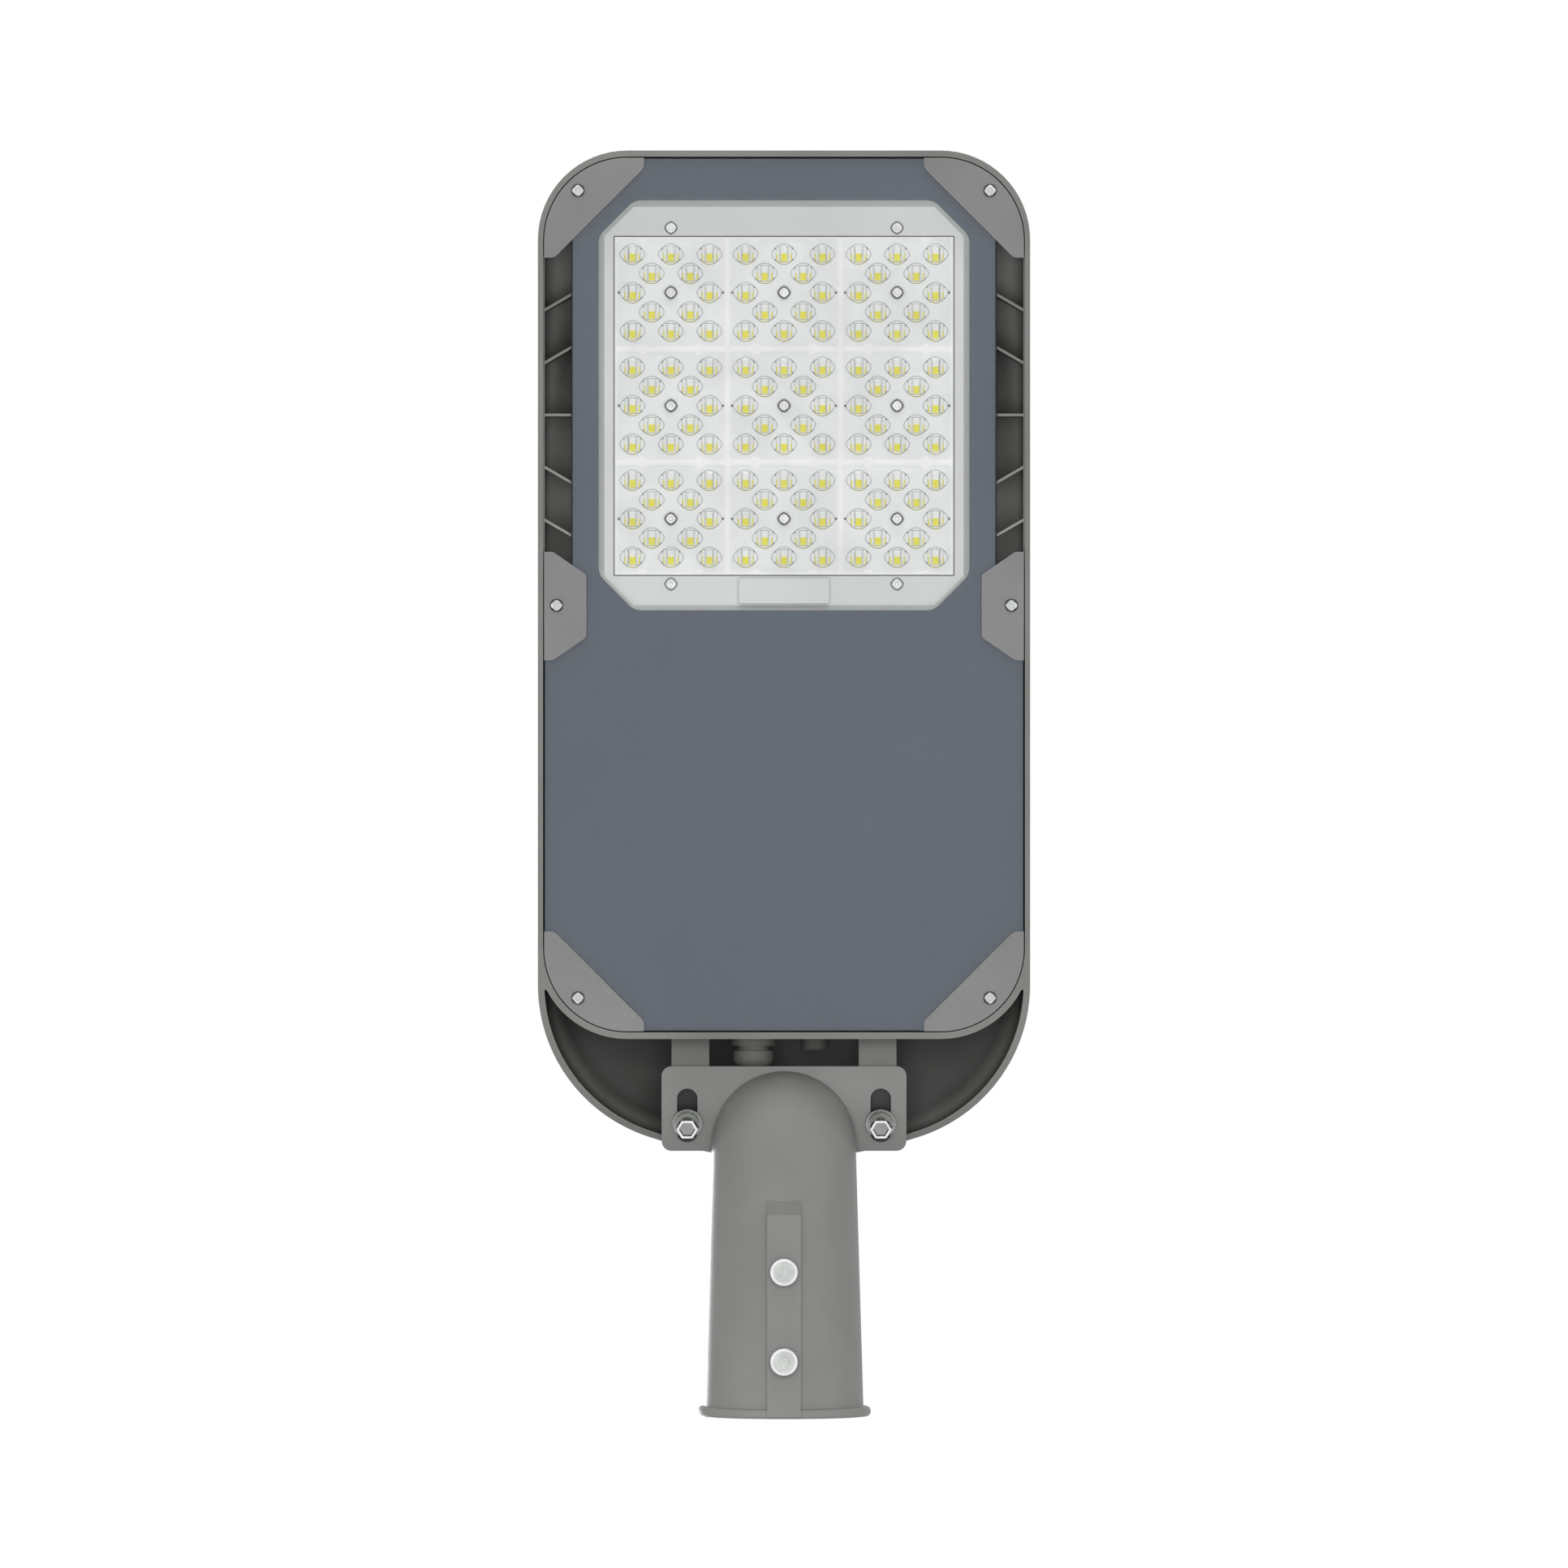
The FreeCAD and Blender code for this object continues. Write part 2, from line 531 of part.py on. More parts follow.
def round_bar(name, radius, length, x, y, z, axis=(0, 0, 1)):
    """A cylinder that starts at a point and runs along an axis."""
    bar = doc.addObject("Part::Cylinder", name)
    bind(bar, Radius=radius, Height=length)
    bar.Placement.Rotation = FreeCAD.Rotation(FreeCAD.Vector(0, 0, 1), FreeCAD.Vector(*axis))
    return place(bar, x, y, z)


def bars(name, radius, length, places, base):
    """Like upright cylinders from one height, at several places (x, y)."""
    return [round_bar(name, radius, length, x, y, base) for x, y in places]


def joined(name, pieces):
    """One object from several."""
    union = doc.addObject("Part::MultiFuse", name)
    union.Shapes = pieces
    union.Refine = True
    return union


def less(name, base, tool):
    """An object with another taken out of it."""
    rest = doc.addObject("Part::Cut", name)
    rest.Base = base
    rest.Tool = tool
    return rest


def shared(name, pieces):
    """What several objects have in common."""
    common = doc.addObject("Part::MultiCommon", name)
    common.Shapes = pieces
    return common


def prism(name, corners, base, high):
    """A straight column over a closed outline."""
    body = new_body(name)
    sketch = draw(new_sketch(body, name + "_outline", height=base), corners)
    pad(body, sketch, high)
    return body


def side_prism(name, corners, half_width):
    """A column across the head over an outline in (y, z)."""
    body = new_body(name)
    sketch = draw(new_sketch(body, name + "_outline", "YZ_Plane", f"-({half_width})"), corners)
    pad(body, sketch, f"2 * ({half_width})")
    return body


def head_outline(inset):
    """The plan of the head: flat nose, round front corners, and three arcs round the hood."""
    side = f"(head_half - {inset})"
    nose = f"(nose_reach - {inset})"
    nose_round = f"(nose_corner - {inset})"
    bow = f"(rear_bow - {inset})"
    bow_y = "(-hood_reach - rear_bow)"
    corner_x = "(head_half - rear_corner)"
    corner_y = f"({bow_y} + sqrt((rear_bow - rear_corner)^2 - {corner_x}^2))"
    join_x = f"({corner_x} * {bow} / (rear_bow - rear_corner))"
    join_y = f"({bow_y} + ({corner_y} - {bow_y}) * {bow} / (rear_bow - rear_corner))"
    return [
        (f"-{side} + {nose_round}", f"-{nose}", nose_round),
        (f"{side} - {nose_round}", f"-{nose}"),
        (side, f"-{nose} + {nose_round}", nose_round),
        (side, corner_y),
        (join_x, join_y, f"(rear_corner - {inset})"),
        (f"-{join_x}", join_y, bow),
        (f"-{side}", corner_y, f"(rear_corner - {inset})"),
        (f"-{side}", f"-{nose} + {nose_round}"),
    ]


def head_form(name, inset, base):
    """The pillow shape of the head: its plan raised, crowned both ways by one turned cut, and rounded.

    The inset moves its sides and its roof inwards together.
    """
    body = new_body(name)
    outline = draw(new_sketch(body, name + "_plan", height=base), head_outline(inset))
    pad(body, outline, f"roof_peak + shell - ({base})")
    doc.recompute()
    crown = new_sketch(body, name + "_crown", "XZ_Plane", "roof_peak_reach")
    top = f"(roof_peak - {inset})"
    wide = "(head_half + shoulder)"
    low = f"({top} - roof_crown + sqrt(roof_crown^2 - {wide}^2))"
    high = "(2 * roof_peak)"
    draw(crown, [(wide, high), (f"-{wide}", high), (f"-{wide}", low), (wide, low, "-roof_crown")])
    axle_rise = "(roof_peak - roof_bow)"
    ends = [FreeCAD.Vector(value(x), value(axle_rise), 0) for x in ("-head_half", "head_half")]
    axle = crown.addGeometry(Part.LineSegment(*ends), True)
    for end, x in ((1, "-head_half"), (2, "head_half")):
        tie(crown, "DistanceX", (axle, end), x)
        tie(crown, "DistanceY", (axle, end), axle_rise)
    doc.recompute()
    groove = body.newObject("PartDesign::Groove", name + "_roof")
    groove.Profile = crown
    groove.ReferenceAxis = (crown, ["Axis0"])
    groove.Midplane = True
    groove.Angle = ROOF_TURN
    doc.recompute()
    roof = max(groove.Shape.Faces, key=lambda face: face.CenterOfMass.z)
    edges = groove.Shape.Edges
    rim = []
    for number, edge in enumerate(edges, start=1):
        if any(edge.isSame(own) for own in roof.Edges):
            rim.append(f"Edge{number}")
    fillet = body.newObject("PartDesign::Fillet", name + "_shoulder")
    fillet.Base = (groove, rim)
    bind(fillet, Radius=f"shoulder - {inset}")
    doc.recompute()
    return body


def glass_outline(inset):
    """The outline of the glass: cut corners under the clips and a narrow waist beside the recesses."""
    side = f"(seat_side - glass_gap - {inset})"
    waist = f"(waist_half - {inset})"
    front = f"(seat_nose - glass_gap - {inset})"
    rear = f"(glass_rear_reach + glass_gap + {inset})"
    front_cut = f"(front_cut - {inset} * sqrt(2))"
    rear_cut = f"(rear_cut + {inset} * sqrt(2))"
    step = f"(waist_rear_reach - {inset})"
    return mirrored(
        [
            (f"{front_cut} - {front}", f"-{front}"),
            (waist, f"-({front_cut} - {waist})"),
            (waist, f"-{step}"),
            (side, f"-{step}"),
            (side, f"-({side} + {rear_cut})"),
            (f"{rear} - {rear_cut}", f"-{rear}"),
        ]
    )


def led_room_outline():
    """The room over the lenses, inside the ledge."""
    waist = "(waist_half - ledge_width)"
    front = "(seat_nose - glass_gap - ledge_width)"
    front_cut = "(front_cut - ledge_width * sqrt(2))"
    rear = "-(tray_rear_reach - tray_room_gap)"
    return mirrored(
        [
            (f"{front_cut} - {front}", f"-{front}"),
            (waist, f"-({front_cut} - {waist})"),
            (waist, rear),
        ]
    )


def gear_room_outline():
    """The room over the printed part of the glass, inside the ledge."""
    side = "(seat_side - glass_gap - ledge_width)"
    front = "-(waist_rear_reach - ledge_width)"
    rear = "(glass_rear_reach + glass_gap + ledge_width)"
    rear_cut = "(rear_cut + ledge_width * sqrt(2))"
    return mirrored([(side, front), (side, f"-({side} + {rear_cut})"), (f"{rear} - {rear_cut}", f"-{rear}")])


def on_saddle(radius, angle, back="0"):
    """A point (y, z) at a radius and an angle below the tilt axis, towards the mouth."""
    return (
        f"-tilt_reach + ({radius}) * sin({angle}) + ({back})",
        f"tilt_rise - ({radius}) * cos({angle})",
    )


def saddle_legs(name):
    """The two legs that reach down from the roof of the hood to the curved plate of the adapter."""
    body = new_body(name)
    sketch = new_sketch(body, name + "_side", "YZ_Plane", "leg_inner")
    front = f"-(rear_face + {PAST})"
    rear = "-leg_rear_reach"
    front_z = f"tilt_rise - sqrt(saddle_radius^2 - (rear_face + {PAST} - tilt_reach)^2)"
    rear_z = "tilt_rise - sqrt(saddle_radius^2 - (tilt_reach - leg_rear_reach)^2)"
    high = "(roof_peak + shell)"
    draw(sketch, [(front, front_z), (rear, rear_z, "saddle_radius"), (rear, high), (front, high)])
    leg = pad(body, sketch, "leg_wide")
    mirror = body.newObject("PartDesign::Mirrored", name + "_pair")
    mirror.Originals = [leg]
    mirror.MirrorPlane = (next(item for item in body.Origin.OriginFeatures if item.Role == "YZ_Plane"), [""])
    body.Tip = mirror
    return body


def slanted_bar(name, radius, length, x, reach_radius):
    """A bar through a saddle leg, square to the curved plate, that starts at a radius from the tilt axis."""
    bar = doc.addObject("Part::Cylinder", name)
    bar.Placement.Rotation = FreeCAD.Rotation(FreeCAD.Vector(1, 0, 0), value("bolt_angle"))
    bind(bar, Radius=radius, Height=length, Placement__Rotation__Angle="bolt_angle")
    y, z = on_saddle(reach_radius, "bolt_angle")
    return place(bar, x, y, z)


def recess_ribs(side):
    """Five thin ribs across one side recess. The outer two lean one way and the inner two the other."""
    ribs = []
    steps = ("-rib_step_far", "-rib_step_near", "0", "rib_step_near", "rib_step_far")
    high = "rib_base + roof_peak"
    for number, step in enumerate(steps):
        rib = block(f"recess_rib_{number}", "0", "0", "-rib_base", "rib_run", "rib_thick", high)
        lean = (1, 1, 0, -1, -1)[number] * side
        rib.Placement.Rotation = FreeCAD.Rotation(FreeCAD.Vector(0, 0, 1), 1)
        turn = f"({lean} * rib_lean)"
        bind(rib, Placement__Rotation__Angle=turn)
        middle = f"{side} * (waist_half + head_half - shell) / 2"
        place(
            rib,
            f"{middle} - rib_run / 2 * cos({turn}) + rib_thick / 2 * sin({turn})",
            f"-rib_reach + {step} - rib_run / 2 * sin({turn}) - rib_thick / 2 * cos({turn})",
            "-rib_base",
        )
        ribs.append(rib)
    return ribs


def side_recess(side, inner_form):
    """The open recess between the LED room and the skirt, under the roof, with its ribs left standing."""
    wide = "(head_half - waist_half)"
    left = "waist_half" if side > 0 else "-head_half"
    long = "(recess_front_reach - recess_rear_reach)"
    room = block("recess_room", left, "-recess_front_reach", "-rim_drop - shell", wide, long, "2 * roof_peak")
    under_roof = shared("recess_under_roof", [inner_form, room])
    return less("side_recess", under_roof, joined("recess_ribs", recess_ribs(side)))


def fin_gaps():
    """The gaps between the cooling fins, cut down from the roof with sloping ends."""
    body = new_body("fin_gaps")
    start = "-(fin_gaps - 1) / 2 * fin_pitch - fin_gap / 2"
    sketch = new_sketch(body, "fin_gap", "YZ_Plane", start)
    floor = "(led_ceiling + sink_thick)"
    top = "(roof_peak + shell)"
    run = f"({top} - {floor}) * tan(fin_flare)"
    draw(
        sketch,
        [
            ("-fin_front_reach", floor),
            ("-fin_rear_reach", floor),
            (f"-fin_rear_reach + {run}", top),
            (f"-fin_front_reach - {run}", top),
        ],
    )
    repeat(body, pad(body, sketch, "fin_gap"), "X_Axis", "fin_pitch", "fin_gaps")
    return body


CLIP_SCREWS = [
    ("clip_screw_half", "-clip_screw_front_reach"),
    ("-clip_screw_half", "-clip_screw_front_reach"),
    ("side_screw_half", "-side_screw_reach"),
    ("-side_screw_half", "-side_screw_reach"),
    ("clip_screw_half", "-clip_screw_rear_reach"),
    ("-clip_screw_half", "-clip_screw_rear_reach"),
]
TRAY_SCREWS = [
    (x, y)
    for x in ("-module_pitch", "module_pitch")
    for y in ("-tray_screw_front_reach", "-tray_screw_rear_reach")
]
MODULES = [(column, row) for row in (-1, 0, 1) for column in (-1, 0, 1)]
LENS_SCREWS = [(f"{column} * module_pitch", f"{row} * module_pitch - board_reach") for column, row in MODULES]
GEAR_POSTS = [
    (x, y)
    for x in ("-post_half_wide", "post_half_wide")
    for y in ("-post_front_reach", "-post_rear_reach")
]


def build_housing():
    """The cast housing: pillow shape, less its rooms, recesses, hood, fin gaps and threaded holes."""
    outer = head_form("outer_form", "0", "-rim_drop")
    inner = head_form("inner_form", "shell", f"-rim_drop - {PAST}")

    seat = prism(
        "glass_seat",
        rounded_rectangle("seat_side", "-seat_nose", "-glass_rear_reach", "(nose_corner - rim_wall)"),
        f"-rim_drop - {PAST}",
        f"ledge_base + rim_drop + {PAST}",
    )
    boss_high = f"ledge_base - glass_base + {PAST}"
    bosses = bars("clip_boss", "boss_radius", boss_high, CLIP_SCREWS, "glass_base")
    seat = less("glass_seat_round_bosses", seat, joined("clip_bosses", bosses))

    led_room_high = f"led_ceiling - ledge_base + {PAST}"
    led_room = prism("led_room", led_room_outline(), f"ledge_base - {PAST}", led_room_high)
    gear_column = prism("gear_column", gear_room_outline(), f"ledge_base - {PAST}", "roof_peak - ledge_base")
    gear_room = shared("gear_room", [inner, gear_column])
    posts = bars("gear_post", "gear_post_radius", "roof_peak", GEAR_POSTS, "gear_rise")
    gear_room = less("gear_room_round_posts", gear_room, joined("gear_posts", posts))
    wire_pass = block(
        "wire_pass",
        "-wire_pass_wide / 2",
        "-window_rear_reach",
        "led_ceiling - wire_pass_gap - wire_pass_high",
        "wire_pass_wide",
        f"window_rear_reach - waist_rear_reach + ledge_width + {PAST}",
        "wire_pass_high",
    )

    below = "(-rim_drop - shell)"
    hood_box = block(
        "hood_box",
        "-head_half",
        "-hood_front_reach",
        below,
        "2 * head_half",
        "hood_front_reach",
        "2 * roof_peak",
    )
    hood_room = shared("hood_room", [inner, hood_box])
    sweep_end = "(-hood_front_reach + sweep_radius)"
    sweep = side_prism(
        "hood_sweep",
        [
            ("-hood_front_reach", below),
            ("0", below),
            ("0", "-rim_drop + sweep_radius"),
            (sweep_end, "-rim_drop + sweep_radius"),
            ("-hood_front_reach", "-rim_drop", "-sweep_radius"),
        ],
        "head_half + shell",
    )
    block_outline = rounded_rectangle(
        "(seat_side + rear_wall)", "-seat_nose", "-rear_face", "(nose_corner - rim_wall + rear_wall)"
    )
    gear_block = prism("gear_block", block_outline, f"{below} - {PAST}", "3 * roof_peak")
    kept = joined("kept_in_hood", [gear_block, saddle_legs("saddle_legs")])
    hood_room = less("hood_void", joined("hood_open", [hood_room, sweep]), kept)

    hole = "screw_hole_radius"
    holes = bars("clip_screw_hole", hole, "clip_screw_grip", CLIP_SCREWS, "glass_base")
    sink_hole = "(sink_thick - blind_floor)"
    holes += bars("lens_screw_hole", hole, sink_hole, LENS_SCREWS, "led_ceiling")
    holes += bars("tray_screw_hole", hole, sink_hole, TRAY_SCREWS, "led_ceiling")
    holes += bars("gear_screw_hole", hole, "gear_screw_grip + blind_floor", GEAR_POSTS, "gear_rise")
    for side in ("", "-"):
        holes.append(
            slanted_bar(
                "tilt_bolt_hole",
                "bolt_radius + thread_gap",
                f"bolt_depth + bolt_tip_room + {PAST}",
                f"{side}bolt_half",
                f"saddle_radius + {PAST}",
            )
        )
    through = f"(gland_wall + 2 * {PAST})"
    start = f"-(rear_face + {through} - {PAST})"
    for name, x in (("gland", "-gland_half"), ("vent", "gland_half")):
        radius = f"{name}_thread_radius + thread_gap"
        holes.append(round_bar(name + "_hole", radius, through, x, start, "gland_rise", (0, 1, 0)))

    rooms = [seat, led_room, gear_room, wire_pass, hood_room, fin_gaps()]
    rooms += [side_recess(side, inner) for side in (-1, 1)] + holes
    return less("housing", outer, joined("housing_rooms", rooms))


def build_glass_and_seal():
    """Glass, its printed mask with the clear window, and the gasket on the ledge."""
    glass = new_body("glass_cover")
    pad(glass, draw(new_sketch(glass, "glass_plan", height="glass_base"), glass_outline("0")), "glass_thick")

    mask = new_body("printed_mask")
    pad(mask, draw(new_sketch(mask, "mask_plan", height="print_base"), glass_outline("0")), "print_thick")
    window = cut_rectangle("window_half", "-window_front_reach", "-window_rear_reach", "window_cut")
    pocket(mask, draw(new_sketch(mask, "mask_window", height="print_base"), window), "print_thick")
    round_corners(mask, "window_round", window)

    gasket = new_body("glass_gasket")
    outer = draw(new_sketch(gasket, "gasket_plan", height="gasket_base"), glass_outline("gasket_inset"))
    pad(gasket, outer, "gasket_thick")
    inside = glass_outline("(gasket_inset + gasket_width)")
    pocket(gasket, draw(new_sketch(gasket, "gasket_inside", height="gasket_base"), inside), "gasket_thick")


def build_corner_clip(label, side, end):
    """One corner clip: its outer edge follows the rim and its inner edge is cut across at 45 degrees."""
    clip = new_body(label)
    front = end == "front"
    y_edge = "clip_nose" if front else "clip_rear"
    inward = "-1" if front else "1"
    arc = "(nose_corner - rim_wall - clip_gap)"

    def corner(x, reach, *radius):
        """A corner of the clip from its own two edges: inwards from the side and along from the end."""
        return (f"{side} * (clip_side - {x})", f"-({y_edge} + ({inward}) * {reach})", *radius)

    turn = "" if (side > 0) == front else "-"
    points = [
        corner("clip_leg", "0"),
        corner(arc, "0"),
        corner("0", arc, turn + arc),
        corner("0", "clip_leg"),
        corner("clip_end", "clip_leg"),
        corner("clip_leg", "clip_end"),
    ]
    pad(clip, draw(new_sketch(clip, label + "_plan", height="-rim_drop"), points), "clip_thick")
    x = f"{side} * clip_screw_half"
    y = f"-clip_screw_{end}_reach"
    hole = draw_circle(new_sketch(clip, label + "_hole", height="-rim_drop"), x, y, "screw_hole_radius")
    pocket(clip, hole, "clip_thick")
    round_corners(clip, "clip_round", points[-2:])


def build_side_clip(label, side):
    """One side clip, with cut inner corners."""
    clip = new_body(label)
    outer = "clip_side"
    inner = "(clip_side - side_clip_wide)"
    front = "-side_clip_front_reach"
    rear = "-side_clip_rear_reach"
    edge = "(clip_side - side_clip_end)"
    corners = [
        (outer, front),
        (edge, front),
        (inner, f"{front} + side_clip_cut"),
        (inner, f"{rear} - side_clip_cut"),
        (edge, rear),
        (outer, rear),
    ]
    points = [(f"{side} * {x}", y) for x, y in corners]
    pad(clip, draw(new_sketch(clip, label + "_plan", height="-rim_drop"), points), "clip_thick")
    hole = new_sketch(clip, label + "_hole", height="-rim_drop")
    draw_circle(hole, f"{side} * side_screw_half", "-side_screw_reach", "screw_hole_radius")
    pocket(clip, hole, "clip_thick")
    round_corners(clip, "side_clip_round", points[1:-1])


def hex_prism(across, high, base):
    """A hexagonal column about Z, from a base upwards."""
    radius = across / 2 / math.cos(math.pi / 6)
    corners = [
        FreeCAD.Vector(radius * math.cos(turn * math.pi / 3), radius * math.sin(turn * math.pi / 3), base)
        for turn in range(7)
    ]
    return Part.Face(Part.makePolygon(corners)).extrude(FreeCAD.Vector(0, 0, high))


def socket_screw(kind, length):
    """A screw of one kind that points up: its head, with a hexagon socket, is under the origin.

    A kind is the first word of its sizes, such as bolt, clamp or screw.
    """
    high = value(f"{kind}_head_high")
    head = Part.makeCylinder(value(f"{kind}_head_radius"), high, FreeCAD.Vector(0, 0, -high))
    shank = Part.makeCylinder(value(f"{kind}_radius"), length)
    socket = hex_prism(value(f"{kind}_key"), value(f"{kind}_key_deep"), -high)
    return head.fuse(shank).cut(socket).removeSplitter()


def group(label, solids):
    """Several like solids under one label."""
    item = doc.addObject("Part::Feature", label)
    item.Shape = Part.makeCompound(solids)
    return item


def small_screws(label, places, seat, length):
    """Like small screws under the seats that they hold, their shanks pointing up."""
    screw = socket_screw("screw", value(length))
    where = [FreeCAD.Vector(value(x), value(y), value(seat)) for x, y in places]
    return group(label, [screw.translated(point) for point in where])


def build_led_tray():
    """The pan round the board: a floor open round the board, and edges that slope out to the window."""
    tray = new_body("led_tray")
    deep = "(led_ceiling - tray_base)"
    outside = cut_rectangle("tray_half", "-tray_front_reach", "-tray_rear_reach", "window_cut")
    outer = draw(new_sketch(tray, "tray_outside", height="tray_base"), outside)
    pad(tray, outer, deep, slope="tray_slope")
    wall = "(tray_thick / cos(tray_slope))"
    inside = cut_rectangle(
        f"(tray_half - {wall})",
        f"-(tray_front_reach - {wall})",
        f"-(tray_rear_reach + {wall})",
        f"(window_cut - {wall} * (2 - sqrt(2)))",
    )
    inner = draw(new_sketch(tray, "tray_inside", height="tray_base"), inside)
    pocket(tray, inner, f"{deep} - tray_thick", slope="tray_slope")
    opening = new_sketch(tray, "tray_opening", height="tray_base")
    half_wide = "(board_wide / 2 + tray_board_gap)"
    half_long = "(board_long / 2 + tray_board_gap)"
    draw(
        opening,
        rectangle(f"-{half_wide}", half_wide, f"-board_reach - {half_long}", f"-board_reach + {half_long}"),
    )
    pocket(tray, opening, deep)
    holes = new_sketch(tray, "tray_holes", height="tray_base")
    for x, y in TRAY_SCREWS:
        draw_circle(holes, x, y, "screw_hole_radius")
    pocket(tray, holes, deep)
    small_screws("tray_screws", TRAY_SCREWS, "led_ceiling - tray_thick", "tray_thick + sink_screw_grip")

    cover = new_body("connector_cover")
    half = "(cover_wide / 2)"
    plan = new_sketch(cover, "cover_plan", height="led_ceiling - tray_thick - cover_high")
    draw(
        plan,
        rounded_rectangle(
            half,
            "(-cover_reach - cover_long / 2)",
            "(-cover_reach + cover_long / 2)",
            "cover_round",
        ),
    )
    pad(cover, plan, "cover_high")


def build_board():
    """The circuit board with a hole for each lens screw, and the chips under the lenses."""
    board = new_body("led_board")
    plan = new_sketch(board, "board_plan", height="board_base")
    front = "-board_reach - board_long / 2"
    rear = "-board_reach + board_long / 2"
    draw(plan, rectangle("-board_wide / 2", "board_wide / 2", front, rear))
    pad(board, plan, "board_thick")
    holes = new_sketch(board, "board_holes", height="board_base")
    for x, y in LENS_SCREWS:
        draw_circle(holes, x, y, "screw_hole_radius")
    pocket(board, holes, "board_thick")
    chip_low = value("board_base") - value("chip_thick")
    chips = []
    for column, row in MODULES:
        for x, y in lens_places():
            corner = FreeCAD.Vector(
                value(f"{column} * module_pitch + {x} * lens_pitch - chip_wide / 2"),
                value(f"{row} * module_pitch - board_reach + {y} * lens_pitch + chip_shift - chip_long / 2"),
                chip_low,
            )
            chips.append(Part.makeBox(value("chip_wide"), value("chip_long"), value("chip_thick"), corner))
    group("led_chips", chips)


def lens_places():
    """The twelve lenses of an array in half pitches: every other place of five by five, less the middle."""
    steps = range(-2, 3)
    return [(x, y) for y in steps for x in steps if (x + y) % 2 == 0 and (x, y) != (0, 0)]


def frustum(foot, crown):
    """A solid with flat sides between two outlines of as many points."""
    count = len(foot)
    outlines = [foot, crown]
    outlines += [[foot[i - 1], foot[i], crown[i], crown[i - 1]] for i in range(count)]
    faces = [Part.Face(Part.makePolygon(outline + outline[:1])) for outline in outlines]
    return Part.Solid(Part.Shell(faces))


def lens_outline(share, height):
    """The eight-sided outline of a lens at a height, as a share of its foot."""
    points = []
    for turn in range(8):
        angle = math.radians(45 * turn + 22.5)
        reach = share / math.cos(math.radians(22.5)) / 2
        points.append(
            FreeCAD.Vector(
                value("lens_wide") * reach * math.cos(angle),
                value("lens_long") * reach * math.sin(angle),
                height,
            )
        )
    return points


def lens_array_solid():
    """One moulded lens plate with a hollow over the chips, a post for its screw and twelve lenses."""
    body = new_body("lens_plate")
    half = "module_side / 2"
    plan = draw(new_sketch(body, "lens_plate_plan"), rectangle(f"-{half}", half, f"-{half}", half))
    pad(body, plan, "module_thick")
    inside = f"({half} - module_rim)"
    hollow = new_sketch(body, "lens_plate_hollow", height="module_thick - module_room")
    draw(hollow, rectangle(f"-{inside}", inside, f"-{inside}", inside))
    draw_circle(hollow, "0", "0", "post_radius")
    pocket(body, hollow, "module_room")
    hole = draw_circle(new_sketch(body, "lens_plate_hole"), "0", "0", "screw_hole_radius")
    pocket(body, hole, "module_thick")
    notches = new_sketch(body, "lens_plate_notches")
    for x in ("-notch_half", "notch_half"):
        for end in (1, -1):
            corners = [
                (f"{x} - {end} * notch_wide / 2", f"-{end} * {half}"),
                (f"{x} + {end} * notch_wide / 2", f"-{end} * {half}"),
                (f"{x} + {end} * notch_floor / 2", f"-{end} * ({half} - notch_deep)"),
                (f"{x} - {end} * notch_floor / 2", f"-{end} * ({half} - notch_deep)"),
            ]
            draw(notches, corners)
    pocket(body, notches, "module_thick")
    doc.recompute()
    lens = frustum(lens_outline(1, 0), lens_outline(value("lens_crown"), -value("lens_high")))
    step = value("lens_pitch")
    lenses = [lens.translated(FreeCAD.Vector(x * step, y * step, 0)) for x, y in lens_places()]
    return body.Shape.fuse(lenses).removeSplitter()


def build_lens_arrays():
    """Nine like lens arrays on the board."""
    solid = lens_array_solid()
    for number, (column, row) in enumerate(MODULES, start=1):
        array = doc.addObject("Part::Feature", f"lens_array_{number}")
        array.Shape = solid
        place(array, f"{column} * module_pitch", f"{row} * module_pitch - board_reach", "lens_plate_base")


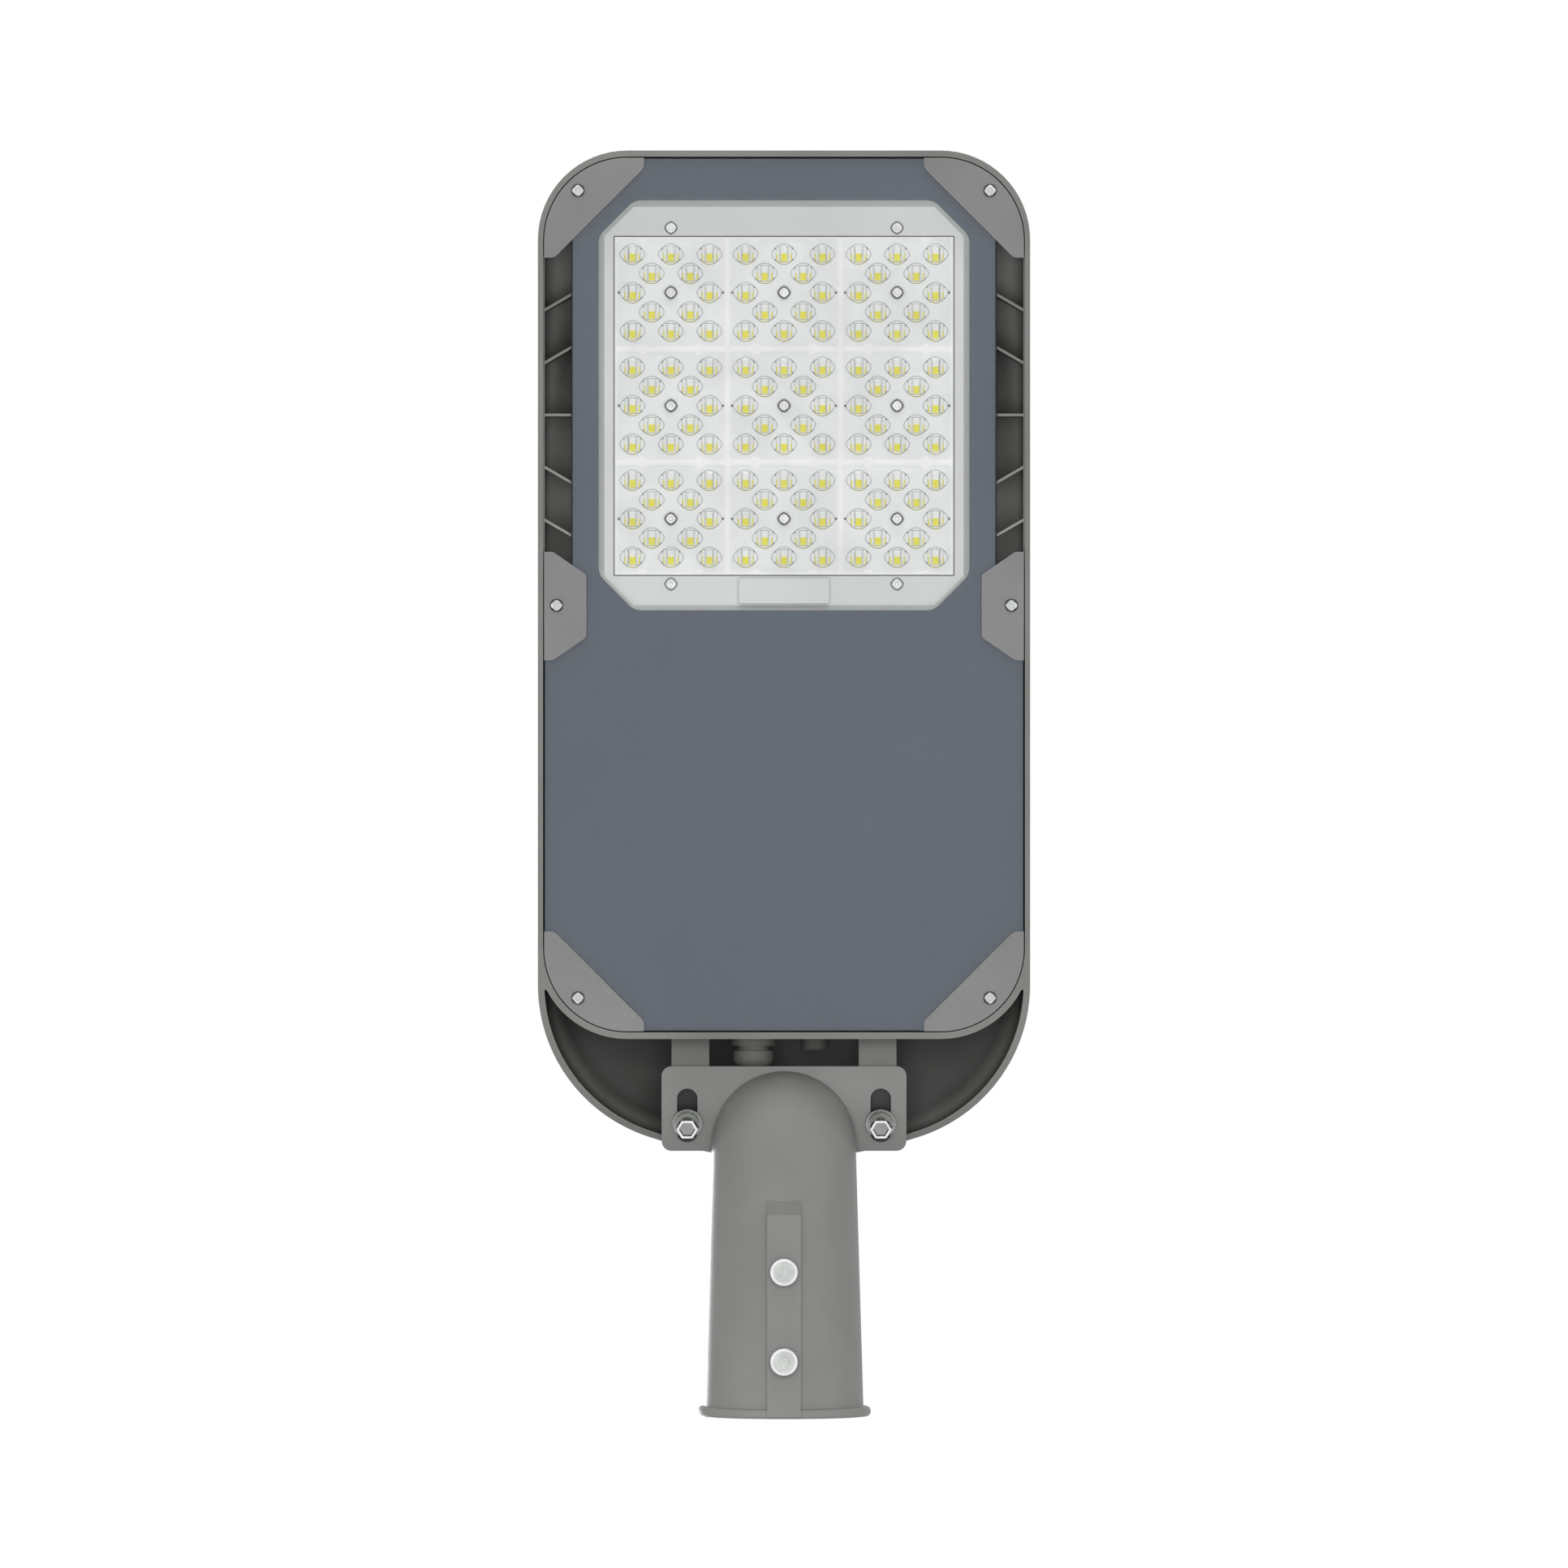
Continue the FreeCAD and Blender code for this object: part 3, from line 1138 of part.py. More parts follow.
def build_gear():
    """The gear tray on its four posts, with the driver, surge protector and terminal block under it."""
    tray = new_body("gear_tray")
    side = "(post_half_wide + gear_margin)"
    front = "-(post_front_reach + gear_margin)"
    rear = "-(post_rear_reach - gear_margin)"
    plan = new_sketch(tray, "gear_tray_plan", height="gear_base - gear_lip")
    pad(tray, draw(plan, rectangle(f"-{side}", side, front, rear)), "gear_thick + gear_lip")
    under = new_sketch(tray, "gear_tray_under", height="gear_base - gear_lip")
    inside = f"({side} - gear_thick)"
    draw(under, rectangle(f"-{inside}", inside, f"{front} - {PAST}", f"{rear} + {PAST}"))
    pocket(tray, under, "gear_lip")
    holes = new_sketch(tray, "gear_tray_holes", height="gear_base")
    for x, y in GEAR_POSTS:
        draw_circle(holes, x, y, "screw_hole_radius")
    pocket(tray, holes, "gear_thick")
    small_screws("gear_tray_screws", GEAR_POSTS, "gear_base", "gear_thick + gear_screw_grip")

    driver = new_body("driver")
    low = "gear_base - driver_high"
    half = "(driver_wide / 2)"
    half_long = "(driver_long / 2)"
    core = f"({half} - driver_foot)"
    case = new_sketch(driver, "driver_case", height=low)
    draw(case, rectangle(f"-{core}", core, f"-driver_reach - {half_long}", f"-driver_reach + {half_long}"))
    pad(driver, case, "driver_high")
    feet = new_sketch(driver, "driver_feet", height="gear_base - driver_foot_thick")
    foot_long = f"({half_long} - driver_foot_inset)"
    draw(feet, rectangle(f"-{half}", half, f"-driver_reach - {foot_long}", f"-driver_reach + {foot_long}"))
    pad(driver, feet, "driver_foot_thick")

    surge = new_body("surge_protector")
    plan = new_sketch(surge, "surge_plan", height="gear_base - surge_high")
    draw(
        plan,
        rectangle(
            "surge_half - surge_wide / 2",
            "surge_half + surge_wide / 2",
            "-gear_rear_row_reach - surge_long / 2",
            "-gear_rear_row_reach + surge_long / 2",
        ),
    )
    pad(surge, plan, "surge_high")

    terminal = new_body("terminal_block")
    plan = new_sketch(terminal, "terminal_plan", height="gear_base - terminal_high")
    left = "-terminal_half - terminal_wide / 2"
    draw(
        plan,
        rectangle(
            left,
            "-terminal_half + terminal_wide / 2",
            "-gear_rear_row_reach - terminal_long / 2",
            "-gear_rear_row_reach + terminal_long / 2",
        ),
    )
    pad(terminal, plan, "terminal_high")
    entries = new_sketch(terminal, "terminal_entries", "XZ_Plane", "gear_rear_row_reach - terminal_long / 2")
    entry_base = "gear_base - terminal_high + terminal_entry_rise"
    draw(
        entries,
        rectangle(
            f"{left} + terminal_pole / 4",
            f"{left} + terminal_pole * 3 / 4",
            entry_base,
            f"{entry_base} + terminal_entry_high",
        ),
    )
    entry = pocket(terminal, entries, "terminal_long / 2")
    repeat(terminal, entry, "X_Axis", "terminal_pole", "terminal_poles")


def turned(label, profile):
    """A body turned about its own Y axis from an outline of (radius, distance along Y)."""
    body = new_body(label)
    sketch = draw(new_sketch(body, label + "_profile"), profile)
    turn = body.newObject("PartDesign::Revolution", label + "_turn")
    turn.Profile = sketch
    turn.ReferenceAxis = (sketch, ["V_Axis"])
    turn.Angle = 360
    return body


def build_gland():
    """Cable gland through the rear wall of the gear room, and the vent plug beside it."""
    inner = "gland_bore_radius"
    flange_end = "gland_flange_thick"
    neck_end = "(gland_flange_thick + gland_neck_long)"
    seal_end = f"({neck_end} + gland_nut_long - gland_nut_wall)"
    nut_end = f"({neck_end} + gland_nut_long)"
    body = turned(
        "gland_body",
        [
            ("gland_seal_radius", "-gland_wall - gland_inner_long"),
            ("gland_thread_radius", "-gland_wall - gland_inner_long"),
            ("gland_thread_radius", "0"),
            ("gland_flange_radius", "0"),
            ("gland_flange_radius", flange_end),
            ("gland_neck_radius", flange_end),
            ("gland_neck_radius", neck_end),
            ("gland_seal_radius", neck_end),
        ],
    )
    place(body, "-gland_half", "-rear_face", "gland_rise")
    seal = turned(
        "gland_seal",
        [
            (inner, "-gland_inner_long"),
            ("gland_seal_radius", "-gland_inner_long"),
            ("gland_seal_radius", seal_end),
            (inner, seal_end),
        ],
    )
    place(seal, "-gland_half", "-rear_face", "gland_rise")
    nut = turned(
        "gland_nut",
        [
            ("gland_seal_radius", neck_end),
            ("gland_nut_radius", neck_end),
            ("gland_nut_radius", f"{nut_end} - gland_nut_round"),
            ("gland_nut_radius - gland_nut_round", nut_end, "gland_nut_round"),
            (inner, nut_end),
            (inner, seal_end),
            ("gland_seal_radius", seal_end),
        ],
    )
    place(nut, "-gland_half", "-rear_face", "gland_rise")
    vent = turned(
        "vent_plug",
        [
            ("0", "-gland_wall"),
            ("vent_thread_radius", "-gland_wall"),
            ("vent_thread_radius", "0"),
            ("vent_radius", "0"),
            ("vent_radius", "vent_long - vent_round"),
            ("vent_radius - vent_round", "vent_long", "vent_round"),
            ("0", "vent_long"),
        ],
    )
    place(vent, "gland_half", "-rear_face", "gland_rise")


def washer(outer, inner, thick):
    """A flat ring under the origin."""
    base = FreeCAD.Vector(0, 0, -thick)
    return Part.makeCylinder(outer, thick, base).cut(Part.makeCylinder(inner, thick, base))


def split_washer(outer, inner, thick):
    """A spring washer: a ring with a narrow slanted gap."""
    gap = Part.makeBox(outer, value("spring_gap"), 3 * thick, FreeCAD.Vector(0, 0, -2 * thick))
    gap.rotate(FreeCAD.Vector(0, 0, -thick / 2), FreeCAD.Vector(1, 0, 0), value("spring_slant"))
    return washer(outer, inner, thick).cut(gap)


def build_tilt_bolts():
    """The bolts that hold the tilt, with a spring washer and a flat washer under each head."""
    turn = FreeCAD.Rotation(FreeCAD.Vector(1, 0, 0), value("bolt_angle"))
    inside = value("bolt_radius + thread_gap")
    seats = {
        "tilt_flat_washers": value("washer_seat"),
        "tilt_spring_washers": value("washer_seat") + value("washer_thick"),
        "tilt_bolts": value("washer_seat") + value("washer_thick") + value("spring_thick"),
    }
    grip = seats["tilt_bolts"] - value("saddle_radius") + value("bolt_depth")
    solids = {
        "tilt_flat_washers": washer(value("washer_radius"), inside, value("washer_thick")),
        "tilt_spring_washers": split_washer(value("spring_radius"), inside, value("spring_thick")),
        "tilt_bolts": socket_screw("bolt", grip),
    }
    for label, solid in solids.items():
        y, z = on_saddle(str(seats[label]), "bolt_angle")
        copies = []
        for side in (-1, 1):
            copy = solid.copy()
            where = FreeCAD.Vector(side * value("bolt_half"), value(y), value(z))
            copy.Placement = FreeCAD.Placement(where, turn)
            copies.append(copy)
        group(label, copies)


def tilt_slot(name, x):
    """The room of one tilt slot, an arc about the tilt axis with round ends."""
    pieces = []
    for end in ("slot_front_angle", "slot_rear_angle"):
        bar = doc.addObject("Part::Cylinder", f"{name}_{end}")
        bar.Placement.Rotation = FreeCAD.Rotation(FreeCAD.Vector(1, 0, 0), value(end))
        bind(bar, Radius="slot_wide / 2", Height=f"plate_thick + 2 * {PAST}", Placement__Rotation__Angle=end)
        y, z = on_saddle(f"plate_outside + {PAST}", end)
        pieces.append(place(bar, x, y, z))
    body = new_body(name + "_middle")
    sketch = new_sketch(body, name + "_side", "YZ_Plane", f"{x} - slot_wide / 2")
    inner = f"(plate_inside - {PAST})"
    outer = f"(plate_outside + {PAST})"
    draw(
        sketch,
        [
            on_saddle(inner, "slot_front_angle"),
            on_saddle(outer, "slot_front_angle"),
            (*on_saddle(outer, "slot_rear_angle"), outer),
            on_saddle(inner, "slot_rear_angle"),
        ],
    )
    pad(body, sketch, "slot_wide")
    return joined(name, pieces + [body])


def build_adapter():
    """The cast adapter: flanged tube with a dome, curved plate with two slots, and a rib for the screws."""
    tube = turned(
        "adapter_tube",
        [
            ("0", "-dome_reach - dome_radius"),
            ("dome_radius", "-dome_reach", "dome_radius"),
            ("tube_mouth_radius", "-flange_thick"),
            ("flange_radius - flange_round", "-flange_thick"),
            ("flange_radius", "-flange_thick + flange_round", "flange_round"),
            ("flange_radius", "-flange_round"),
            ("flange_radius - flange_round", "0", "flange_round"),
            ("0", "0"),
        ],
    )
    plate_body = side_prism(
        "plate_arc",
        [
            on_saddle("(saddle_radius - plate_thick)", "-plate_front_angle"),
            on_saddle("plate_outside", "-plate_front_angle"),
            (*on_saddle("plate_outside", "plate_rear_angle"), "plate_outside"),
            on_saddle("(saddle_radius - plate_thick)", "plate_rear_angle"),
        ],
        "plate_half",
    )
    front_y, front_z = on_saddle("plate_outside", "-plate_front_angle")
    rear_y, rear_z = on_saddle("plate_outside", "plate_rear_angle")
    corners = rounded_rectangle("plate_half", f"({front_y})", f"({rear_y})", "plate_corner")
    plan = prism("plate_plan", corners, "-bore_radius", "2 * bore_radius")
    plate = shared("curved_plate", [plate_body, plan])
    rib_root = "-(bore_radius + cable_radius) / 2"
    rib = side_prism(
        "clamp_rib",
        [
            ("-rib_front_reach - rib_ramp", "-bore_radius - dome_wall / 2"),
            ("-rib_front_reach", "-rib_drop"),
            ("-rib_rear_gap", "-rib_drop"),
            ("-rib_rear_gap", rib_root),
            ("-rib_front_reach - rib_ramp", rib_root),
        ],
        "rib_half",
    )
    solid = joined("adapter_solid", [tube, plate, rib])
    saddle_start = f"-plate_half - {PAST}"
    saddle_wide = f"2 * (plate_half + {PAST})"
    saddle = round_bar(
        "saddle_room", "plate_inside", saddle_wide, saddle_start, "-tilt_reach", "tilt_rise", (1, 0, 0)
    )
    bore = round_bar("spigot_bore", "bore_radius", f"bore_depth + {PAST}", "0", "-bore_depth", "0", (0, 1, 0))
    cable_long = f"cable_depth - bore_depth + {PAST}"
    cable = round_bar("cable_way", "cable_radius", cable_long, "0", "-cable_depth", "0", (0, 1, 0))
    rooms = [saddle, bore, cable]
    rooms += [tilt_slot("tilt_slot_left", "-bolt_half"), tilt_slot("tilt_slot_right", "bolt_half")]
    clamp_hole = "clamp_radius + thread_gap"
    for reach in ("clamp_front_reach", "clamp_rear_reach"):
        rooms.append(round_bar("clamp_hole", clamp_hole, "rib_drop", "0", f"-{reach}", f"-rib_drop - {PAST}"))
    less("spigot_adapter", solid, joined("adapter_rooms", rooms))

    long = value("rib_drop - bore_radius - clamp_tip_gap")
    screw = socket_screw("clamp", long)
    low = -value("rib_drop")
    places = [FreeCAD.Vector(0, -value(reach), low) for reach in ("clamp_front_reach", "clamp_rear_reach")]
    group("clamp_screws", [screw.translated(where) for where in places])


def check(labels):
    """Stop if anything in the document failed, or a piece has no good shape."""
    for item in doc.Objects:
        if {"Invalid", "Error"} & set(item.State):
            raise RuntimeError(f"{item.Name} failed")
    for label in labels:
        shape = doc.getObjectsByLabel(label)[0].Shape
        if shape.isNull() or not shape.isValid():
            raise RuntimeError(f"{label} has no good shape")


build_housing()
build_glass_and_seal()
for clip_side, side_name in ((-1, "left"), (1, "right")):
    for clip_end in ("front", "rear"):
        build_corner_clip(f"{clip_end}_clip_{side_name}", clip_side, clip_end)
    build_side_clip(f"side_clip_{side_name}", clip_side)
small_screws("clip_screws", CLIP_SCREWS, "-rim_drop", "clip_screw_grip")
build_led_tray()
build_board()
build_lens_arrays()
small_screws("lens_screws", LENS_SCREWS, "lens_plate_base", "module_thick + board_thick + sink_screw_grip")
build_gear()
build_gland()
build_tilt_bolts()
build_adapter()
doc.recompute()

NODES = [
    "housing",
    "glass_cover",
    "printed_mask",
    "glass_gasket",
    "front_clip_left",
    "front_clip_right",
    "rear_clip_left",
    "rear_clip_right",
    "side_clip_left",
    "side_clip_right",
    "clip_screws",
    "led_tray",
    "tray_screws",
    "connector_cover",
    "led_board",
    "led_chips",
    *[f"lens_array_{number}" for number in range(1, len(MODULES) + 1)],
    "lens_screws",
    "gear_tray",
    "gear_tray_screws",
    "driver",
    "surge_protector",
    "terminal_block",
    "gland_body",
    "gland_seal",
    "gland_nut",
    "vent_plug",
    "tilt_bolts",
    "tilt_spring_washers",
    "tilt_flat_washers",
    "spigot_adapter",
    "clamp_screws",
]
check(NODES)
os.makedirs("parts", exist_ok=True)
for node in NODES:
    doc.getObjectsByLabel(node)[0].Shape.exportStep(f"parts/{node}.step")
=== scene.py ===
import json
import math

import bmesh
import bpy
from mathutils import Matrix, Vector


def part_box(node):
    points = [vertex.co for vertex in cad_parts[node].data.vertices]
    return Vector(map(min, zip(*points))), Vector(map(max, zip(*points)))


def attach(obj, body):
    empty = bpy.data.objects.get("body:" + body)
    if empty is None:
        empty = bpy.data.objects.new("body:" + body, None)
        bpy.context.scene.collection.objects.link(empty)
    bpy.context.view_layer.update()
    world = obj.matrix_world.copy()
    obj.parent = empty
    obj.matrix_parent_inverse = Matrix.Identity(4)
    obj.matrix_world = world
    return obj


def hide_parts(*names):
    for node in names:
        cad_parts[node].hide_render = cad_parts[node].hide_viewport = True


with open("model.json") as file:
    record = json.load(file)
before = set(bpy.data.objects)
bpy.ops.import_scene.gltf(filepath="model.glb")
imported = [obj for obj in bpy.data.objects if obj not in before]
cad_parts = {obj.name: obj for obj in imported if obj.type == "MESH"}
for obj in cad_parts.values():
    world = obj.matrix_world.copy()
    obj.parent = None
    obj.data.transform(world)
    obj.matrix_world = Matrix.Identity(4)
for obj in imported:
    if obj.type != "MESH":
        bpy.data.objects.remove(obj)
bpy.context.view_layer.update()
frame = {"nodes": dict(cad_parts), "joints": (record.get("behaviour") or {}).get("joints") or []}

bl_info = {
    "name": "Street light head finisher",
    "version": (1, 0, 0),
    "blender": (4, 5, 0),
    "location": "View3D > Sidebar > Street Light",
    "description": "Gives the LED street light head its lenses, glass, fasteners, coatings and stage",
    "category": "Object",
}

NODES = frame["nodes"]
HEAD = "head"
ADAPTER = "adapter"
MM = 0.001
TILT_AXIS = Vector(frame["joints"][0]["pos_m"])


def linear(screen_values):
    """A colour given in screen values from 0 to 255, as the renderer counts light."""
    shares = [level / 255 for level in screen_values]
    return [share / 12.92 if share <= 0.04045 else ((share + 0.055) / 1.055) ** 2.4 for share in shares]


def colour(label, meaning, screen_values):
    """A colour that a user may change."""
    return bpy.props.FloatVectorProperty(
        name=label, description=meaning, default=linear(screen_values), size=3, min=0, max=1, subtype="COLOR"
    )


def number(label, meaning, default, **kind):
    """A number that a user may change."""
    return bpy.props.FloatProperty(name=label, description=meaning, default=default, min=0, **kind)


def length(label, meaning, metres):
    """A size that a user may change."""
    return number(label, meaning, metres, unit="LENGTH", precision=5)


def angle(label, meaning, degrees):
    """An angle that a user may change."""
    return number(label, meaning, math.radians(degrees), subtype="ANGLE")


def power(label, meaning, watts):
    """The power of a lamp that a user may change."""
    return number(label, meaning, watts, unit="POWER")


class StreetLightColours(bpy.types.PropertyGroup):
    """Colours of the finishes"""

    casting: colour("Casting", "Powder coat of the cast housing", (118, 118, 115))
    adapter: colour("Adapter", "Powder coat of the spigot adapter", (131, 131, 129))
    clip: colour("Clips", "Powder coat of the glass clips", (124, 124, 124))
    glass: colour("Glass", "Clear glass of the cover", (254, 255, 255))
    print_ink: colour("Print", "Ink printed behind the glass", (80, 89, 101))
    steel: colour("Steel", "Stainless steel of the fasteners", (218, 221, 218))
    # Painted highlight: a brighter copy of the steel on rims and faces.
    painted_highlight: colour("Polished rims", "Bright rims of the fasteners", (246, 247, 246))
    # Painted shade: a darker copy of the steel round the small heads and inside the sockets.
    painted_shade_steel: colour("Dark steel", "Blackened washers and the insides of sockets", (58, 58, 57))
    washer: colour("Washers", "Plain steel of the flat washers", (160, 162, 159))
    tray: colour("LED tray", "Painted sheet round the board", (217, 219, 218))
    board: colour("Board", "Solder mask of the circuit board", (255, 255, 254))
    chip: colour("Chips", "Phosphor of the LED chips", (255, 243, 0))
    lens: colour("Lenses", "Clear plastic of the lens arrays", (247, 249, 249))
    # Painted shade: a darker copy of the lens plastic for the line that each fillet shows.
    lens_line: colour("Lens lines", "Plastic where a fillet keeps the light in", (96, 98, 100))
    # Painted light: a paler copy of the lens plastic for the crowns.
    lens_crown: colour("Lens crowns", "Plastic of the crowns that light shines through", (250, 250, 254))
    gland: colour("Gland", "Plastic of the cable gland", (106, 106, 102))
    black: colour("Black plastic", "Plastic of the terminal block and the lens pegs", (38, 38, 38))
    vent: colour("Vent plug", "Plastic of the vent plug", (78, 78, 76))
    rubber: colour("Rubber", "Gasket and gland seal", (30, 30, 31))
    sheet: colour("Zinc sheet", "Gear tray", (176, 180, 182))
    gear: colour("Gear", "Cases of the driver and surge protector", (208, 208, 204))


class StreetLightSizes(bpy.types.PropertyGroup):
    """Sizes of what is modelled over the solids"""

    lens_wide: length("Lens width", "Foot of one lens across the head", 0.0119)
    lens_long: length("Lens length", "Foot of one lens along the head", 0.0099)
    lens_rise: length("Lens rise", "Low rise of a lens under its crowns", 0.0013)
    lens_line: length("Lens line", "Fillet that shows as a dark line round a lens", 0.0003)
    lens_pitch: length("Lens pitch", "Half pitch of the lenses in an array", 0.00893)
    crown_off: length("Crown place", "Crowns of a lens off its middle", 0.0026)
    crown_wide: length("Crown width", "One crown of a lens across the head", 0.0024)
    crown_long: length("Crown length", "One crown of a lens along the head", 0.0076)
    crown_high: length("Crown height", "Crowns over the low rise of a lens", 0.0027)
    hollow_wide: length("Hollow width", "Hollow over a chip, across the head", 0.0074)
    hollow_long: length("Hollow length", "Hollow over a chip, along the head", 0.0076)
    hollow_high: length("Hollow height", "Hollow over a chip", 0.0010)
    plate_thick: length("Lens plate", "Thickness of a lens plate", 0.0028)
    plate_room: length("Lens plate room", "Room behind a lens plate", 0.0014)
    plate_rim: length("Lens plate rim", "Rim of a lens plate on the board", 0.0020)
    plate_round: length("Lens plate corner", "Round corners of a lens plate", 0.0012)
    seat_gap: length("Seat gap", "Air left between clear plastic and what it lies on", 0.00003)
    glass_arris: length("Glass arris", "Ground edge of the glass", 0.0005)
    small_head_high: length("Small head", "Height of the heads of the small screws", 0.002)
    clamp_head_high: length("Clamp screw head", "Height of the heads of the clamp screws", 0.008)
    bolt_head_high: length("Tilt bolt head", "Height of the heads of the tilt bolts", 0.006)
    bolt_lean: angle("Tilt bolt lean", "Lean of the tilt bolts off upright", 20)


class StreetLightStage(bpy.types.PropertyGroup):
    """Camera, lamps and floor"""

    view_wide: length("View width", "Width of the picture at the glass", 0.7264)
    view_reach: length("View middle", "Spigot mouth to the middle of the picture", 0.2933)
    camera_far: length("Camera distance", "Glass to camera", 7.5)
    floor_drop: length("Floor", "Bore axis down to the floor", 0.10)
    lamp_far: length("Lamp distance", "Lamps from the middle of the head", 3.0)
    lamp_wide: length("Lamp size", "Side of a soft lamp", 1.3)
    sky: number("Sky", "Strength of the even light from all sides", 0.43)
    low_lamp: power("Low lamp", "Power of the soft lamp under the head", 56)
    nose_lamp: power("Nose lamp", "Power of the soft lamp low before the nose", 5)
    high_lamp: power("High lamp", "Power of the soft lamp over the head", 74)


BLACK, WHITE = (0, 0, 0), (1, 1, 1)
# Colour that edges pale to: partly bare metal where the coat wears, partly a painted highlight.
WORN_AND_HIGHLIT_METAL = (0.75, 0.75, 0.74)
NOISE_LOW, NOISE_HIGH = 0.3, 0.7
MASK_SOFT = 0.5 * MM
CLEAR_IOR = 1.45
WELD = 0.01 * MM
# The lean within which the glass is flat, and how upright the normals of its two broad faces are.
FLAT_WITHIN, UPRIGHT = math.radians(2), 0.9
# Stretch of the fine lines in metal.
EVEN, TURNED, BRUSHED, ROLLED = (1, 1, 1), (1, 1, 0.1), (1, 0.2, 1), (0.05, 1, 1)
# Radii that castings and sheet parts are shaded with at their edges.
CAST_EDGE, SHEET_EDGE = 0.8 * MM, 0.4 * MM


class Tree:
    """A node tree with short ways to add and join nodes."""

    def __init__(self, tree):
        self.tree = tree

    def add(self, kind, **values):
        """A new node. Names with a capital set inputs, and others set properties."""
        node = self.tree.nodes.new(kind)
        for name, amount in values.items():
            if name[0].isupper():
                self.feed(node.inputs[name.replace("_", " ")], amount)
            else:
                setattr(node, name, amount)
        return node

    def feed(self, socket, amount):
        """Link a socket, or set it to a plain value."""
        if isinstance(amount, bpy.types.NodeSocket):
            self.tree.links.new(amount, socket)
        elif hasattr(amount, "__len__") and len(amount) == 3 and socket.type == "RGBA":
            socket.default_value = (*amount, 1)
        else:
            socket.default_value = amount

    def place(self):
        """Where a point lies on its own piece."""
        return self.add("ShaderNodeTexCoord").outputs["Object"]

    def math(self, operation, first, second=0.0, clamp=False):
        """The output of one sum."""
        node = self.add("ShaderNodeMath", operation=operation, use_clamp=clamp)
        self.feed(node.inputs[0], first)
        self.feed(node.inputs[1], second)
        return node.outputs[0]

    def mix(self, factor, first, second):
        """A colour between two."""
        node = self.add("ShaderNodeMix", data_type="RGBA")
        self.feed(node.inputs[0], factor)
        self.feed(node.inputs[6], first)
        self.feed(node.inputs[7], second)
        return node.outputs[2]

    def noise(self, vector, scale, detail=2.0, roughness=0.5):
        """The value of a noise."""
        values = {"Vector": vector, "Scale": scale, "Detail": detail, "Roughness": roughness}
        return self.add("ShaderNodeTexNoise", **values).outputs[0]

    def remap(self, amount, low, high, new_low=0.0, new_high=1.0):
        """A value moved from one range to another, and held there."""
        node = self.add("ShaderNodeMapRange")
        for socket, value in zip(node.inputs, (amount, low, high, new_low, new_high)):
            self.feed(socket, value)
        return node.outputs[0]

    def spread(self, noise, new_low=0.0, new_high=1.0):
        """A noise stretched to a new range from the range where most of it lies."""
        return self.remap(noise, NOISE_LOW, NOISE_HIGH, new_low, new_high)

    def all_of(self, mask, *others):
        """A mask that is 1 only where all the given ones are."""
        for other in others:
            mask = self.math("MULTIPLY", mask, other)
        return mask

    def within(self, amount, low, high):
        """A mask that is 1 where an amount lies between two others, with soft ends."""
        return self.all_of(
            self.remap(amount, low, low + MASK_SOFT), self.remap(amount, high, high - MASK_SOFT)
        )


def new_group(name, inputs, outputs):
    """A shader node group with named sockets. Returns its tree, what it is given and what it gives."""
    tree = bpy.data.node_groups.new(name, "ShaderNodeTree")
    kinds = {"number": "NodeSocketFloat", "colour": "NodeSocketColor", "vector": "NodeSocketVector"}
    for label, kind, default in inputs:
        socket = tree.interface.new_socket(label, in_out="INPUT", socket_type=kinds[kind])
        socket.default_value = (*default, 1) if kind == "colour" else default
    for label, kind in outputs:
        tree.interface.new_socket(label, in_out="OUTPUT", socket_type=kinds[kind])
    build = Tree(tree)
    return build, build.add("NodeGroupInput").outputs, build.add("NodeGroupOutput").inputs


FINISH = [("Colour", "colour"), ("Roughness", "number"), ("Height", "number")]


def give_finish(build, given, made, colour, rougher, height):
    """Feed the outputs of an effect group. The roughness varies round the given one."""
    build.feed(made["Colour"], colour)
    build.feed(made["Roughness"], build.math("ADD", given["Roughness"], rougher))
    build.feed(made["Height"], height)


def make_soft_edges():
    """Rounds the shading of sharp edges, and finds the edges where a coat wears thin and which take a painted
    highlight.
    """
    inputs = [("Radius", "number", 0.4 * MM), ("Gain", "number", 3.0)]
    build, given, made = new_group("soft_edges", inputs, [("Edge", "number"), ("Normal", "vector")])
    bevel = build.add("ShaderNodeBevel", samples=4, Radius=given["Radius"])
    plain = build.add("ShaderNodeNewGeometry")
    turn = build.add("ShaderNodeVectorMath", operation="DOT_PRODUCT")
    build.feed(turn.inputs[0], bevel.outputs[0])
    build.feed(turn.inputs[1], plain.outputs["Normal"])
    lost = build.math("SUBTRACT", 1.0, turn.outputs["Value"])
    build.feed(made["Edge"], build.math("MULTIPLY", lost, given["Gain"], clamp=True))
    build.feed(made["Normal"], bevel.outputs[0])


def make_powder_coat():
    """Fine orange peel with a slow drift of tone, and paler edges that are partly wear and partly a painted
    highlight.
    """
    inputs = [
        ("Colour", "colour", (0.2, 0.2, 0.2)),
        ("Grain Scale", "number", 1600.0),
        ("Roughness", "number", 0.5),
        ("Edge", "number", 0.0),
        ("Edge Light", "number", 0.35),
    ]
    build, given, made = new_group("powder_coat", inputs, FINISH)
    place = build.place()
    peel = build.noise(place, given["Grain Scale"], detail=3.0)
    drift = build.noise(place, scale=14.0, detail=3.0)
    dust = build.noise(place, scale=260.0, detail=4.0, roughness=0.7)
    darker = build.mix(0.08, given["Colour"], BLACK)
    lighter = build.mix(0.05, given["Colour"], WHITE)
    tone = build.mix(build.spread(drift), darker, lighter)
    speckled = build.mix(build.remap(dust, 0.62, 0.8, 0.0, 0.22), tone, lighter)
    # Edges pale towards bare metal, partly as wear and partly as a painted highlight.
    wear_and_highlight_mask = build.all_of(given["Edge"], given["Edge Light"])
    tone = build.mix(wear_and_highlight_mask, speckled, WORN_AND_HIGHLIT_METAL)
    give_finish(build, given, made, tone, build.spread(drift, -0.06, 0.06), peel)


